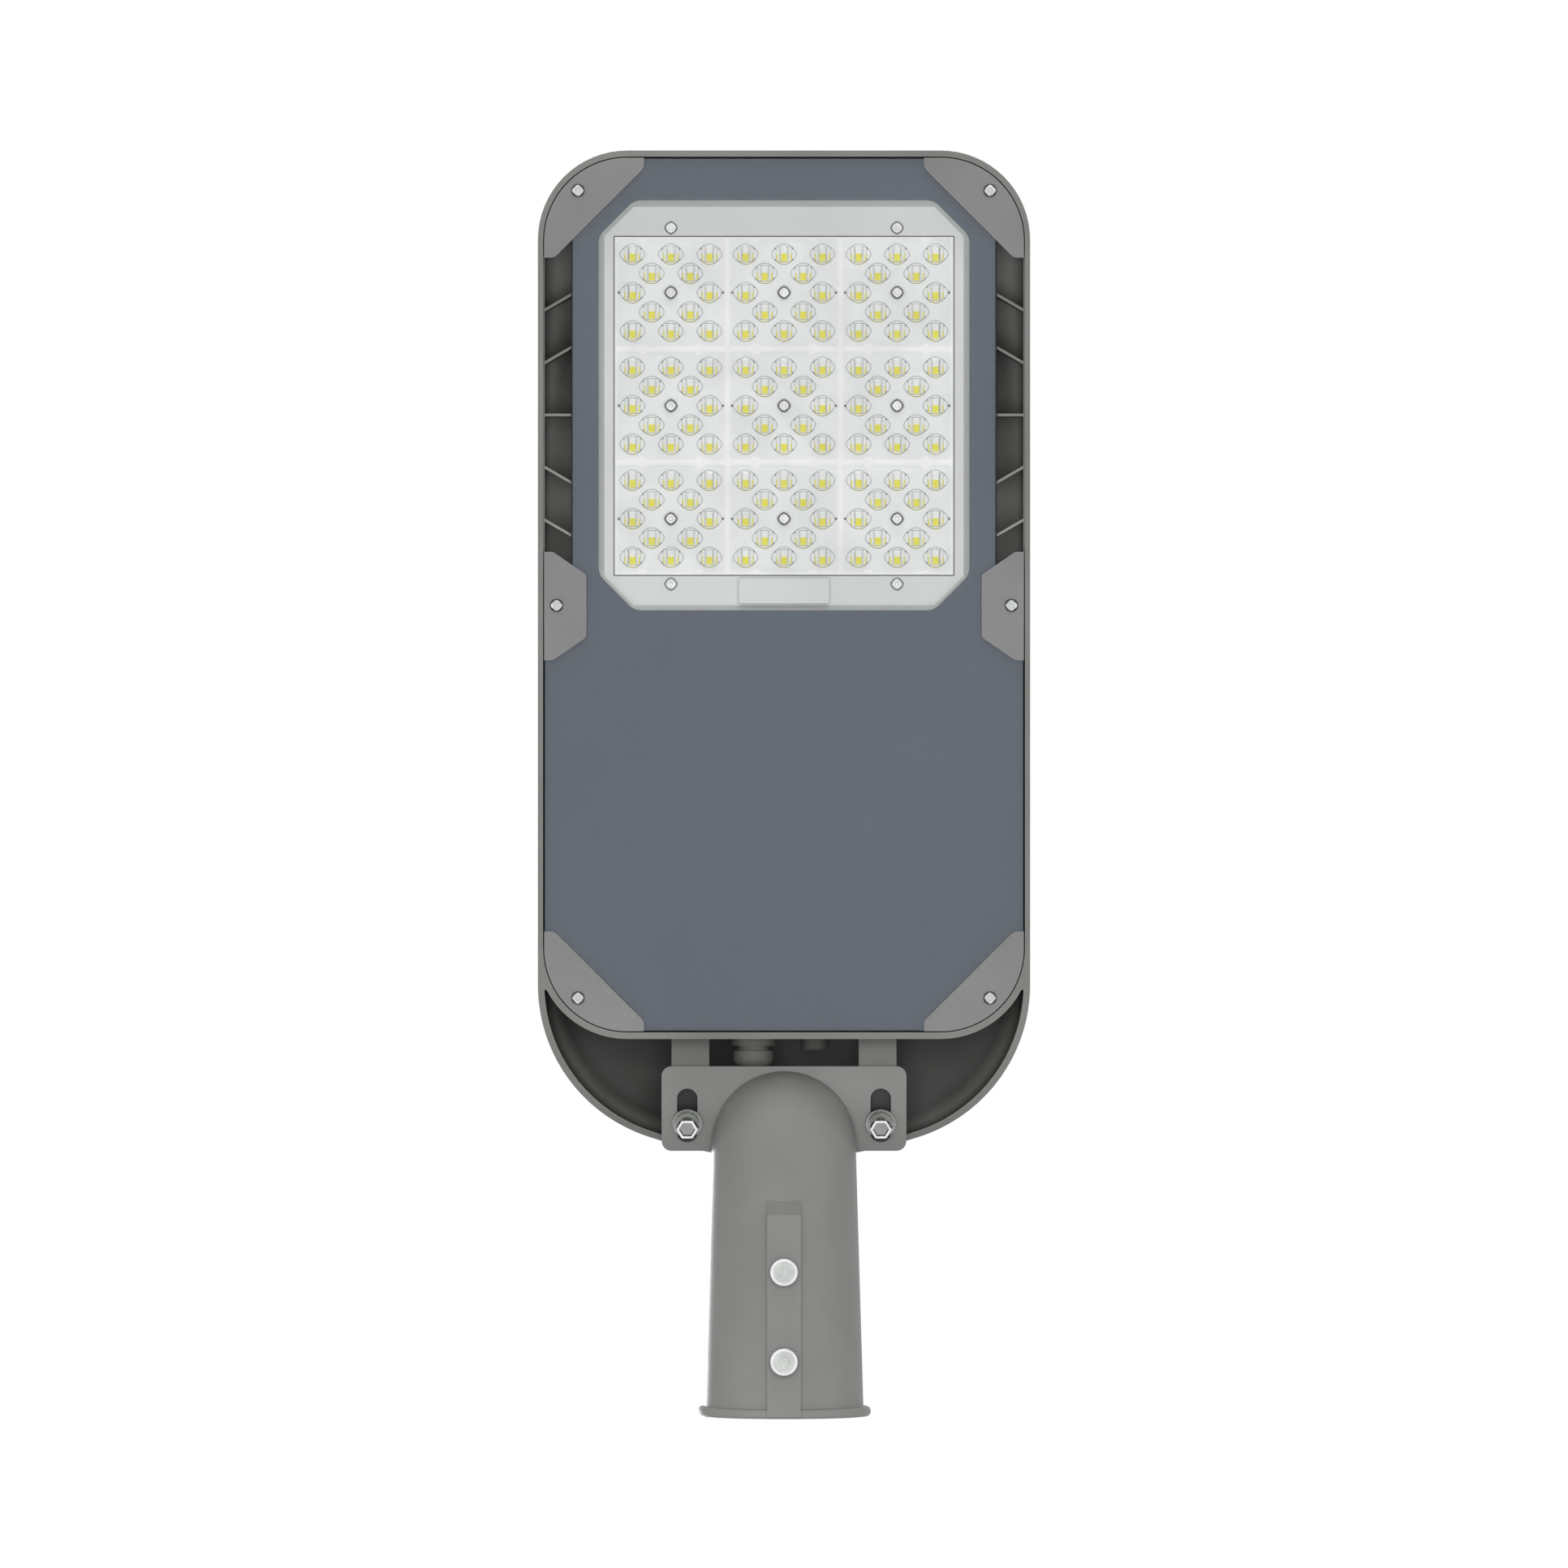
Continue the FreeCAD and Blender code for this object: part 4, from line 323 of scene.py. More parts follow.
def make_machined_metal():
    """Fine turned or rolled lines with a cloudy shine."""
    inputs = [
        ("Colour", "colour", (0.6, 0.6, 0.6)),
        ("Roughness", "number", 0.25),
        ("Stretch", "vector", EVEN),
    ]
    build, given, made = new_group("machined_metal", inputs, FINISH)
    place = build.place()
    stretched = build.add("ShaderNodeVectorMath", operation="MULTIPLY")
    build.feed(stretched.inputs[0], place)
    build.feed(stretched.inputs[1], given["Stretch"])
    lines = build.noise(stretched.outputs[0], scale=2400.0, detail=3.0)
    clouds = build.noise(place, scale=180.0, detail=3.0)
    darker = build.mix(0.22, given["Colour"], BLACK)
    tone = build.mix(build.spread(clouds), darker, given["Colour"])
    give_finish(build, given, made, tone, build.spread(lines, -0.08, 0.1), lines)


def make_moulded_plastic():
    """Fine spark-eroded grain with faint flow marks."""
    inputs = [
        ("Colour", "colour", (0.2, 0.2, 0.2)),
        ("Roughness", "number", 0.45),
        ("Grain Scale", "number", 2200.0),
    ]
    build, given, made = new_group("moulded_plastic", inputs, FINISH)
    place = build.place()
    grain = build.noise(place, given["Grain Scale"])
    flow = build.noise(place, scale=60.0)
    darker = build.mix(0.12, given["Colour"], BLACK)
    tone = build.mix(build.spread(flow), darker, given["Colour"])
    give_finish(build, given, made, tone, build.spread(flow, -0.05, 0.07), grain)


def make_clear_haze():
    """The faint drift of tint and polish in glass and clear plastic."""
    inputs = [("Tint", "colour", WHITE), ("Roughness", "number", 0.05)]
    build, given, made = new_group("clear_haze", inputs, [("Colour", "colour"), ("Roughness", "number")])
    place = build.place()
    drift = build.noise(place, scale=40.0)
    build.feed(made["Colour"], build.mix(build.spread(drift, 0.0, 0.04), given["Tint"], WHITE))
    rough = given["Roughness"]
    build.feed(made["Roughness"], build.spread(drift, build.math("MULTIPLY", rough, 0.6), rough))


def group_node(build, name, **values):
    """A shared effect placed in a material with its own values."""
    return build.add("ShaderNodeGroup", node_tree=bpy.data.node_groups[name], **values)


def new_material(name, **constants):
    """A material with constants on its Principled shader. Returns it with its tree and the shader."""
    material = bpy.data.materials.new(name)
    material.use_nodes = True
    shader = material.node_tree.nodes["Principled BSDF"]
    for label, amount in constants.items():
        shader.inputs[label.replace("_", " ")].default_value = amount
    return material, Tree(material.node_tree), shader


def show_blend(build, factor, first, second):
    """Make the surface of a material go from one shader node to another by a factor."""
    joined = build.add("ShaderNodeMixShader")
    for socket, amount in zip(joined.inputs, (factor, first.outputs[0], second.outputs[0])):
        build.feed(socket, amount)
    build.feed(build.tree.nodes["Material Output"].inputs["Surface"], joined.outputs[0])


def colour_and_polish(build, shader, effect):
    """Join the colour and roughness of an effect group to the shader."""
    build.feed(shader.inputs["Base Color"], effect.outputs["Colour"])
    build.feed(shader.inputs["Roughness"], effect.outputs["Roughness"])


def finish_surface(build, shader, effect, edges, bump, depth):
    """Join an effect group to the shader, with its height as a bump over the softened edges."""
    colour_and_polish(build, shader, effect)
    relief = build.add("ShaderNodeBump", Strength=bump, Distance=depth, Height=effect.outputs["Height"])
    build.feed(relief.inputs["Normal"], edges.outputs["Normal"])
    build.feed(shader.inputs["Normal"], relief.outputs[0])


# Places on the housing, in metres: across from its middle, along from the spigot mouth, up from the bore.
HOOD_ROOF_UP = (0.020, 0.028)
SADDLE_ACROSS, SADDLE_ALONG, SADDLE_UP = (0.039, 0.051), (-0.153, -0.127), (-0.012, 0.012)
RECESS_ACROSS, RECESS_ALONG = (0.0975, 0.1115), (-0.56, -0.33)
RECESS_UP, RECESS_REARWARD = (-0.009, -0.008), (-0.50, -0.34)
RIB_CREST_UP = (-0.0108, -0.0092)
# Ranges of a surface's facing, which is -1 for one that faces down.
ROOF_FACING, CREST_FACING = (-0.6, -0.9), (-0.3, -0.8)
# Shares of the coat's colour in those places: painted shade in the hood roof and behind the slots, and
# painted light to the rear of a recess.
ROOF_PAINTED_SHADE, SADDLE_PAINTED_SHADE, REARWARD_PAINTED_LIGHT = 0.27, 0.15, 2.4
# A pale colour painted on the rib crests as a highlight.
CREST_PAINTED_HIGHLIGHT = (0.85, 0.85, 0.84)


def housing_painted_light(build, base):
    """Painted shade in the hood and behind the slots, painted light to the rear of a recess and a painted
    highlight on its rib crests.
    """

    def shaded(share):
        return tuple(level * share for level in base)

    place = build.add("ShaderNodeTexCoord")
    split = build.add("ShaderNodeSeparateXYZ", Vector=place.outputs["Object"])
    facing = build.add("ShaderNodeSeparateXYZ", Vector=place.outputs["Normal"]).outputs["Z"]
    across = build.math("ABSOLUTE", split.outputs["X"])
    along, up = split.outputs["Y"], split.outputs["Z"]
    # Masks of painted shade in the hood roof and behind the slots, painted light to the rear of each recess,
    # and a painted highlight on the rib crests.
    roof = build.all_of(build.remap(facing, *ROOF_FACING), build.remap(up, *HOOD_ROOF_UP))
    legs = build.all_of(build.within(across, *SADDLE_ACROSS), build.within(along, *SADDLE_ALONG))
    saddle_shade_mask = build.all_of(legs, build.within(up, *SADDLE_UP))
    recess = build.all_of(build.within(across, *RECESS_ACROSS), build.within(along, *RECESS_ALONG))
    rearward_light_mask = build.all_of(recess, build.remap(up, *RECESS_UP), build.remap(along, *RECESS_REARWARD))
    crest = build.all_of(recess, build.remap(facing, *CREST_FACING), build.within(up, *RIB_CREST_UP))
    # The coat's colour with the painted shade, light and highlight in it.
    tone = build.mix(roof, tuple(base), shaded(ROOF_PAINTED_SHADE))
    tone = build.mix(rearward_light_mask, tone, shaded(REARWARD_PAINTED_LIGHT))
    tone = build.mix(crest, tone, CREST_PAINTED_HIGHLIGHT)
    return build.mix(saddle_shade_mask, tone, shaded(SADDLE_PAINTED_SHADE))


def coat_material(name, base, roughness, radius=CAST_EDGE, edge_light=0.35, grain=1600.0, tint=None):
    """Powder coat over metal. A function given here paints light and shade into the colour from place to
    place.
    """
    material, build, shader = new_material(name, Specular_IOR_Level=0.35)
    edges = group_node(build, "soft_edges", Radius=radius)
    values = {"Roughness": roughness, "Grain_Scale": grain, "Edge_Light": edge_light}
    tone = tint(build, base) if tint else tuple(base)
    effect = group_node(build, "powder_coat", Colour=tone, Edge=edges.outputs["Edge"], **values)
    finish_surface(build, shader, effect, edges, bump=0.25, depth=0.08 * MM)
    return material


def metal_material(name, base, roughness, stretch=EVEN):
    """Bare metal with fine lines."""
    material, build, shader = new_material(name, Metallic=1.0)
    edges = group_node(build, "soft_edges", Radius=0.2 * MM)
    effect = group_node(build, "machined_metal", Colour=tuple(base), Roughness=roughness, Stretch=stretch)
    finish_surface(build, shader, effect, edges, bump=0.15, depth=0.03 * MM)
    return material


def plastic_material(name, base, roughness, radius=0.3 * MM, grain=2200.0):
    """Moulded plastic or rubber."""
    material, build, shader = new_material(name)
    edges = group_node(build, "soft_edges", Radius=radius)
    effect = group_node(build, "moulded_plastic", Colour=tuple(base), Roughness=roughness, Grain_Scale=grain)
    finish_surface(build, shader, effect, edges, bump=0.2, depth=0.05 * MM)
    return material


def clear_material(name, tint, roughness):
    """Glass or clear plastic that lets light from the lamps straight through."""
    material, build, shader = new_material(name, Transmission_Weight=1.0, IOR=CLEAR_IOR)
    colour_and_polish(build, shader, group_node(build, "clear_haze", Tint=tuple(tint), Roughness=roughness))
    shadow_ray = build.add("ShaderNodeLightPath").outputs["Is Shadow Ray"]
    show_blend(build, shadow_ray, shader, build.add("ShaderNodeBsdfTransparent"))
    return material


def dress(names, material):
    """Give CAD nodes one material."""
    for name in names:
        mesh = NODES[name].data
        mesh.materials.clear()
        mesh.materials.append(material)


def welded_form(name):
    """The mesh of a CAD node as a form to work on, with its points welded."""
    form = bmesh.new()
    form.from_mesh(NODES[name].data)
    bmesh.ops.remove_doubles(form, verts=form.verts, dist=WELD)
    return form


def islands(name):
    """The lowest and highest corner of each separate solid of a CAD node, from left to right."""
    form = welded_form(name)
    found = []
    left = set(form.verts)
    while left:
        grown = {left.pop()}
        edge = set(grown)
        while edge:
            near = {link.other_vert(vert) for vert in edge for link in vert.link_edges}
            edge = near - grown
            grown |= edge
        left -= grown
        low = Vector([min(vert.co[axis] for vert in grown) for axis in range(3)])
        high = Vector([max(vert.co[axis] for vert in grown) for axis in range(3)])
        found.append((low, high))
    form.free()
    return sorted(found, key=lambda pair: (round(pair[0].x, 4), round(pair[0].y, 4)))


def new_mesh(name, form, coats):
    """A mesh from a finished form, with its coats in order."""
    mesh = bpy.data.meshes.new(name)
    form.normal_update()
    form.to_mesh(mesh)
    form.free()
    for coat in coats:
        mesh.materials.append(coat)
    return mesh


def new_object(name, data, place=(0, 0, 0)):
    """Put a mesh, lamp or camera into the scene."""
    item = bpy.data.objects.new(name, data)
    item.location = place
    bpy.context.scene.collection.objects.link(item)
    return item


def new_piece(name, mesh, body, replaced, place=(0, 0, 0)):
    """Put a mesh into the scene as a piece of the lamp, in place of a CAD node."""
    piece = new_object(name, mesh, place)
    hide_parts(replaced)
    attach(piece, body)


def ring(form, points):
    """Vertices joined in a closed loop."""
    verts = [form.verts.new(point) for point in points]
    for index, vert in enumerate(verts):
        form.edges.new((verts[index - 1], vert))
    return verts


def skin(form, lower, upper, smooth=True, coat=0):
    """Faces between two loops of as many vertices."""
    for index, vert in enumerate(lower):
        face = form.faces.new((lower[index - 1], vert, upper[index], upper[index - 1]))
        face.smooth = smooth
        face.material_index = coat


def mark_sharp(form, loop):
    """Make the edges of a loop sharp in shading."""
    for index, vert in enumerate(loop):
        edge = form.edges.get((loop[index - 1], vert))
        if edge:
            edge.smooth = False


def flat_face_with_holes(form, loops):
    """One flat face between an outer loop and the loops inside it."""
    edges = [form.edges.get((loop[index - 1], vert)) for loop in loops for index, vert in enumerate(loop)]
    made = bmesh.ops.triangle_fill(form, use_beauty=True, edges=edges)
    for item in made["geom"]:
        if isinstance(item, bmesh.types.BMFace):
            item.smooth = False
    for loop in loops:
        mark_sharp(form, loop)


def stack(form, loops, coats):
    """Skin loops one after the other, each band in its own material."""
    for lower, upper, coat in zip(loops, loops[1:], coats):
        skin(form, lower, upper, coat=coat)


def cap(form, loop, coat=0):
    """Close a loop with one face."""
    face = form.faces.new(loop)
    face.smooth = True
    face.material_index = coat


OUTLINE_SIDES, HOLE_SIDES, CORNER_STEPS = 36, 20, 4


def turns(count=OUTLINE_SIDES):
    """Angles in even steps round a circle."""
    return [2 * math.pi * step / count for step in range(count)]


def rounded_square(half, radius, height):
    """The points of a square with round corners."""
    points = []
    for corner in range(4):
        middle_x = (half - radius) * (1 if corner in (0, 3) else -1)
        middle_y = (half - radius) * (1 if corner in (0, 1) else -1)
        for step in range(CORNER_STEPS + 1):
            turn = (corner + step / CORNER_STEPS) * math.pi / 2
            points.append((middle_x + radius * math.cos(turn), middle_y + radius * math.sin(turn), height))
    return points


def circle(radius, height):
    """The points of the hole or post of a screw."""
    return [(radius * math.cos(turn), radius * math.sin(turn), height) for turn in turns(HOLE_SIDES)]


def hexagon(corner, height):
    """The points of a hexagon of a corner radius."""
    points = []
    for turn in turns():
        reach = corner * math.cos(math.pi / 6) / math.cos(turn % (math.pi / 3) - math.pi / 6)
        points.append((reach * math.cos(turn), reach * math.sin(turn), height))
    return points


def eye(half_wide, half_long, height):
    """The points of an oval whose left and right ends are drawn to a point."""
    points = []
    for turn in turns():
        narrow = 1 - EYE_PINCH * math.cos(turn) ** 2
        points.append((half_wide * math.cos(turn), half_long * math.sin(turn) * narrow, height))
    return points


def pillow(half_wide, half_long, height, fullness):
    """The points of a diamond at a fullness of 1, an oval at 2, and nearly a rectangle far above."""
    points = []
    for turn in turns():
        across, along = math.cos(turn), math.sin(turn)
        x = math.copysign(abs(across) ** (2 / fullness), across) * half_wide
        y = math.copysign(abs(along) ** (2 / fullness), along) * half_long
        points.append((x, y, height))
    return points


def disc(radius, height, fullness=2):
    """The points of a round outline, drawn towards a diamond by a fullness under 2."""
    return pillow(radius, radius, height, fullness)


# Coats of a lens array, in the order of its mesh: the plate, a darker copy as painted shade in the lines, a
# paler copy as painted light in the crowns, and the pegs.
PLATE, PAINTED_SHADE_LINE, PAINTED_LIGHT_CROWN, PEG = range(4)
# Hole and post of the lens screw, corners of a notch in the end of a plate, and the pegs.
HOLE_RADIUS, POST_RADIUS = 1.75 * MM, 3.6 * MM
NOTCH = ((2.5 * MM, 0), (1.1 * MM, 1.5 * MM), (-1.1 * MM, 1.5 * MM), (-2.5 * MM, 0))
NOTCH_OFF = 0.532  # of half the plate
PEG_IN, PEG_REACH, PEG_HALF_LONG, PEG_HIGH = 1.1 * MM, 0.6 * MM, 0.65 * MM, 0.35 * MM
EYE_PINCH = 0.3
# Steps of a lens up from the plate: width and length taken off in line widths, and share of its rise.
LENS_STEPS = ((0, 0, 0), (1, 1, 0.6), (3, 1.6, 1))
# Steps of a crown above its line: shares of width, length and height.
CROWN_STEPS = ((0.82, 0.883, 0.7), (0.55, 0.7075, 0.92), (0.2, 0.48, 1))
CROWN_FULLNESS, CROWN_TOP_FULLNESS, CROWN_LINE, CROWN_LINE_RISE = 2.7, 2.5, 0.7, 0.35
# Steps of a hollow: share of its width and length, and share of its height.
HOLLOW_STEPS = ((1, 0), (0.96, 0.8), (0.88, 1))
HOLLOW_FULLNESS = 3


def loops_at(form, outlines, middle):
    """Closed loops from outlines, moved to a middle."""
    return [ring(form, [(x + middle[0], y + middle[1], z) for x, y, z in outline]) for outline in outlines]


def lens_places(pitch):
    """The twelve lenses of an array: every other place of five by five, without the middle."""
    steps = range(-2, 3)
    return [(x * pitch, y * pitch) for y in steps for x in steps if (x + y) % 2 == 0 and (x, y) != (0, 0)]


def notched_square(half, radius, height):
    """The points of a lens plate's edge: round corners, and two notches in each end."""
    corners = rounded_square(half, radius, height)
    arc = CORNER_STEPS + 1
    points = []
    for corner in range(4):
        points += corners[corner * arc : (corner + 1) * arc]
        if corner in (0, 2):
            end = 1 if corner == 0 else -1
            for middle in (end * half * NOTCH_OFF, -end * half * NOTCH_OFF):
                points += [(middle + end * off, end * (half - deep), height) for off, deep in NOTCH]
    return points


def add_crown(form, sizes, middle, base):
    """One of the two tall crowns of a lens, a paler copy of the plastic as painted light, with a fine line of
    painted shade round its foot. Returns its foot.
    """
    half_wide, half_long, high = sizes.crown_wide / 2, sizes.crown_long / 2, sizes.crown_high
    line = sizes.lens_line * CROWN_LINE
    inner_wide, inner_long = half_wide - line, half_long - line
    outlines = [
        pillow(half_wide, half_long, base, CROWN_FULLNESS),
        pillow(inner_wide, inner_long, base - high * CROWN_LINE_RISE, CROWN_FULLNESS),
    ]
    for wide, long, rise in CROWN_STEPS:
        outlines.append(pillow(inner_wide * wide, inner_long * long, base - high * rise, CROWN_TOP_FULLNESS))
    loops = loops_at(form, outlines, middle)
    stack(form, loops, (PAINTED_SHADE_LINE, PAINTED_LIGHT_CROWN, PAINTED_LIGHT_CROWN, PAINTED_LIGHT_CROWN))
    cap(form, loops[-1], PAINTED_LIGHT_CROWN)
    return loops[0]


def add_lens(form, sizes, middle, face_height):
    """One lens on its plate: a line of painted shade round its foot, a low rise and two crowns in painted
    light. Returns its foot.
    """
    half_wide, half_long, line = sizes.lens_wide / 2, sizes.lens_long / 2, sizes.lens_line
    outlines = [
        eye(half_wide - wide * line, half_long - long * line, face_height - sizes.lens_rise * rise)
        for wide, long, rise in LENS_STEPS
    ]
    loops = loops_at(form, outlines, middle)
    stack(form, loops, (PAINTED_SHADE_LINE, PLATE))
    top = face_height - sizes.lens_rise
    crowns = [
        add_crown(form, sizes, (middle[0] + side * sizes.crown_off, middle[1]), top) for side in (-1, 1)
    ]
    flat_face_with_holes(form, [loops[-1], *crowns])
    return loops[0]


def add_hollow(form, sizes, middle, room_height):
    """The hollow over one chip, with a flat roof. Returns its mouth."""
    half_wide, half_long, high = sizes.hollow_wide / 2, sizes.hollow_long / 2, sizes.hollow_high
    outlines = [
        pillow(half_wide * share, half_long * share, room_height - high * rise, HOLLOW_FULLNESS)
        for share, rise in HOLLOW_STEPS
    ]
    loops = loops_at(form, outlines, middle)
    stack(form, loops, (PLATE, PLATE))
    cap(form, loops[-1])
    return loops[0]


def add_peg(form, middle, base, side):
    """A small dark locating mark at the edge of a plate."""
    reach = side * PEG_REACH
    corners = ((reach, PEG_HALF_LONG), (reach, -PEG_HALF_LONG), (-reach, 0))
    loops = loops_at(form, [[(x, y, z) for x, y in corners] for z in (base, base - PEG_HIGH)], middle)
    stack(form, loops, (PEG,))
    for loop in loops:
        cap(form, loop, PEG)


def lens_array_form(sizes, half):
    """One lens array about its own middle, with the board side of its plate at height 0."""
    form = bmesh.new()
    face, room, rim = -sizes.plate_thick, -sizes.plate_room, -sizes.seat_gap
    inner, corner = half - sizes.plate_rim, sizes.plate_round
    outer_low, outer_high = [ring(form, notched_square(half, corner, z)) for z in (face, rim)]
    inner_high, inner_low = [ring(form, rounded_square(inner, corner, z)) for z in (rim, room)]
    hole_low, hole_high = [ring(form, circle(HOLE_RADIUS, z)) for z in (face, rim)]
    post_high, post_low = [ring(form, circle(POST_RADIUS, z)) for z in (rim, room)]
    skin(form, outer_low, outer_high, smooth=False)
    skin(form, inner_high, inner_low, smooth=False)
    skin(form, hole_high, hole_low)
    skin(form, post_low, post_high)
    skin(form, post_high, hole_high, smooth=False)
    places = lens_places(sizes.lens_pitch)
    feet = [add_lens(form, sizes, middle, face) for middle in places]
    hollows = [add_hollow(form, sizes, middle, room) for middle in places]
    flat_face_with_holes(form, [outer_high, inner_high])
    flat_face_with_holes(form, [outer_low, hole_low, *feet])
    flat_face_with_holes(form, [inner_low, post_low, *hollows])
    for side in (-1, 1):
        add_peg(form, (side * (half - PEG_IN), 0), face - sizes.seat_gap, side)
    bmesh.ops.recalc_face_normals(form, faces=form.faces)
    return form


class STREETLIGHT_OT_mould_lenses(bpy.types.Operator):
    """Replace the nine lens arrays with clear mouldings whose lenses have two crowns each"""

    bl_idname = "street_light.mould_lenses"
    bl_label = "Mould the lens arrays"

    def execute(self, context):
        colours, sizes = context.scene.street_light_colours, context.scene.street_light_sizes
        arrays = [f"lens_array_{place}" for place in range(1, 10)]
        low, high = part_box(arrays[0])
        coats = (
            clear_material("lens_plastic", colours.lens, roughness=0.04),
            # Darker and paler copies of the lens plastic: painted shade in the lines, painted light in the
            # crowns.
            clear_material("lens_outline_painted_shade", colours.lens_line, roughness=0.2),
            clear_material("lens_crown", colours.lens_crown, roughness=0.05),
            plastic_material("peg_black", colours.black, roughness=0.5, radius=0.1 * MM),
        )
        mesh = new_mesh("lens_array", lens_array_form(sizes, (high.x - low.x) / 2), coats)
        for array in arrays:
            low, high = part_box(array)
            place = ((low.x + high.x) / 2, (low.y + high.y) / 2, high.z)
            new_piece(f"clear_{array}", mesh, HEAD, array, place)
        return {"FINISHED"}


class STREETLIGHT_OT_coat_castings(bpy.types.Operator):
    """Powder coat the housing and the spigot adapter"""

    bl_idname = "street_light.coat_castings"
    bl_label = "Coat the castings"

    def execute(self, context):
        colours = context.scene.street_light_colours
        # The housing's coat carries painted shade, painted light and a painted highlight.
        dress(["housing"], coat_material("cast_housing", colours.casting, roughness=0.5, tint=housing_painted_light))
        dress(["spigot_adapter"], coat_material("cast_adapter", colours.adapter, roughness=0.46))
        return {"FINISHED"}


def print_material(ink):
    """Screen-printed ink: an even film with a fine mesh grain and slow drift of tone."""
    material, build, shader = new_material("blue_grey_print", Specular_IOR_Level=0.2)
    place = build.place()
    drift = build.noise(place, scale=7.0)
    grain = build.noise(place, scale=500.0)
    darker = build.mix(0.09, tuple(ink), BLACK)
    tone = build.mix(build.spread(drift), darker, tuple(ink))
    build.feed(shader.inputs["Base Color"], build.mix(build.remap(grain, 0.4, 0.9, 0, 0.003), tone, WHITE))
    build.feed(shader.inputs["Roughness"], build.spread(grain, 0.54, 0.58))
    return material


def ground_glass_form(arris, gap):
    """The glass with ground edges, a hair under the print. Its edge faces are in its second coat."""
    form = welded_form("glass_cover")
    bmesh.ops.dissolve_limit(form, angle_limit=FLAT_WITHIN, verts=form.verts, edges=form.edges)
    top = max(vert.co.z for vert in form.verts)
    for vert in form.verts:
        if vert.co.z > top - arris:
            vert.co.z -= gap
    rims = [edge for edge in form.edges if abs(edge.verts[0].co.z - edge.verts[1].co.z) < gap]
    bmesh.ops.bevel(
        form, geom=rims, offset=arris, segments=1, affect="EDGES", offset_type="OFFSET", profile=0.5
    )
    form.normal_update()
    for face in form.faces:
        face.material_index = int(abs(face.normal.z) < UPRIGHT)
    return form


class STREETLIGHT_OT_glaze(bpy.types.Operator):
    """Ground glass with a blackened edge, printed ink behind the glass, and the gasket"""

    bl_idname = "street_light.glaze"
    bl_label = "Glaze the head"

    def execute(self, context):
        colours, sizes = context.scene.street_light_colours, context.scene.street_light_sizes
        glass = clear_material("clear_glass", colours.glass, roughness=0.01)
        rubber = plastic_material("seal_rubber", colours.rubber, roughness=0.7)
        form = ground_glass_form(sizes.glass_arris, sizes.seat_gap)
        pane = new_mesh("glass_pane", form, (glass, rubber))
        new_piece("glass_pane", pane, HEAD, "glass_cover")
        dress(["printed_mask"], print_material(colours.print_ink))
        dress(["glass_gasket"], rubber)
        return {"FINISHED"}


class STREETLIGHT_OT_finish_clips(bpy.types.Operator):
    """Powder coat the six clips that hold the glass"""

    bl_idname = "street_light.finish_clips"
    bl_label = "Finish the clips"

    def execute(self, context):
        base = context.scene.street_light_colours.clip
        coat = coat_material("clip_metal", base, roughness=0.48, radius=SHEET_EDGE, edge_light=0.45)
        dress([name for name in NODES if "_clip_" in name], coat)
        return {"FINISHED"}


class STREETLIGHT_OT_finish_led_room(bpy.types.Operator):
    """Paint the LED tray and its cover, and finish the board and chips"""

    bl_idname = "street_light.finish_led_room"
    bl_label = "Finish the LED room"

    def execute(self, context):
        colours = context.scene.street_light_colours
        paint = coat_material(
            "tray_grey", colours.tray, roughness=0.5, radius=SHEET_EDGE, edge_light=0.2, grain=2000.0
        )
        dress(["led_tray", "connector_cover"], paint)
        dress(["led_board"], plastic_material("board_white", colours.board, roughness=0.35, grain=3000.0))
        chip = plastic_material("chip_yellow", colours.chip, roughness=0.55, radius=0.1 * MM, grain=6000.0)
        dress(["led_chips"], chip)
        return {"FINISHED"}


class STREETLIGHT_OT_finish_gear(bpy.types.Operator):
    """Finish the gear tray and what it carries, the vent plug and the cable gland"""

    bl_idname = "street_light.finish_gear"
    bl_label = "Finish the gear"

    def execute(self, context):
        colours = context.scene.street_light_colours
        sheet = metal_material("sheet_metal", colours.sheet, roughness=0.4, stretch=ROLLED)
        dress(["gear_tray"], sheet)
        for name, base, roughness, nodes in (
            ("gear_plastic", colours.gear, 0.45, ["driver", "surge_protector"]),
            ("black_plastic", colours.black, 0.45, ["terminal_block"]),
            ("vent_plastic", colours.vent, 0.45, ["vent_plug"]),
            ("gland_plastic", colours.gland, 0.42, ["gland_body", "gland_nut"]),
        ):
            dress(nodes, plastic_material(name, base, roughness))
        dress(["gland_seal"], bpy.data.materials["seal_rubber"])
        return {"FINISHED"}


# Coats of a screw, in the order of its mesh. The second and third are brighter and darker copies of the
# steel: painted highlights on rims and faces, painted shade in the sockets and in a ring round each small
# head.
STEEL, PAINTED_HIGHLIGHT, PAINTED_SHADE, DULL = range(4)
THREAD_PITCH = 2 * MM
# Shank radii as shares of the heads' radii.
SMALL_SHANK, BOLT_SHANK, CLAMP_SHANK = 0.45, 0.58, 0.6
# Small screws, with the fullness of their rings of painted contact shadow and of their faces, and the coat of
# their faces.
INSIDE, OUTSIDE = (1.55, 1.45, PAINTED_HIGHLIGHT), (2, 1.6, STEEL)
SMALL_SCREWS = {
    "clip_screws": OUTSIDE,
    "tray_screws": INSIDE,
    "lens_screws": INSIDE,
    "gear_tray_screws": OUTSIDE,
}
# A thin ring of painted contact shadow round the foot of each small head.
SHADOW_RING_THICK, SHADOW_RING_WIDE = 0.35 * MM, 0.38 * MM
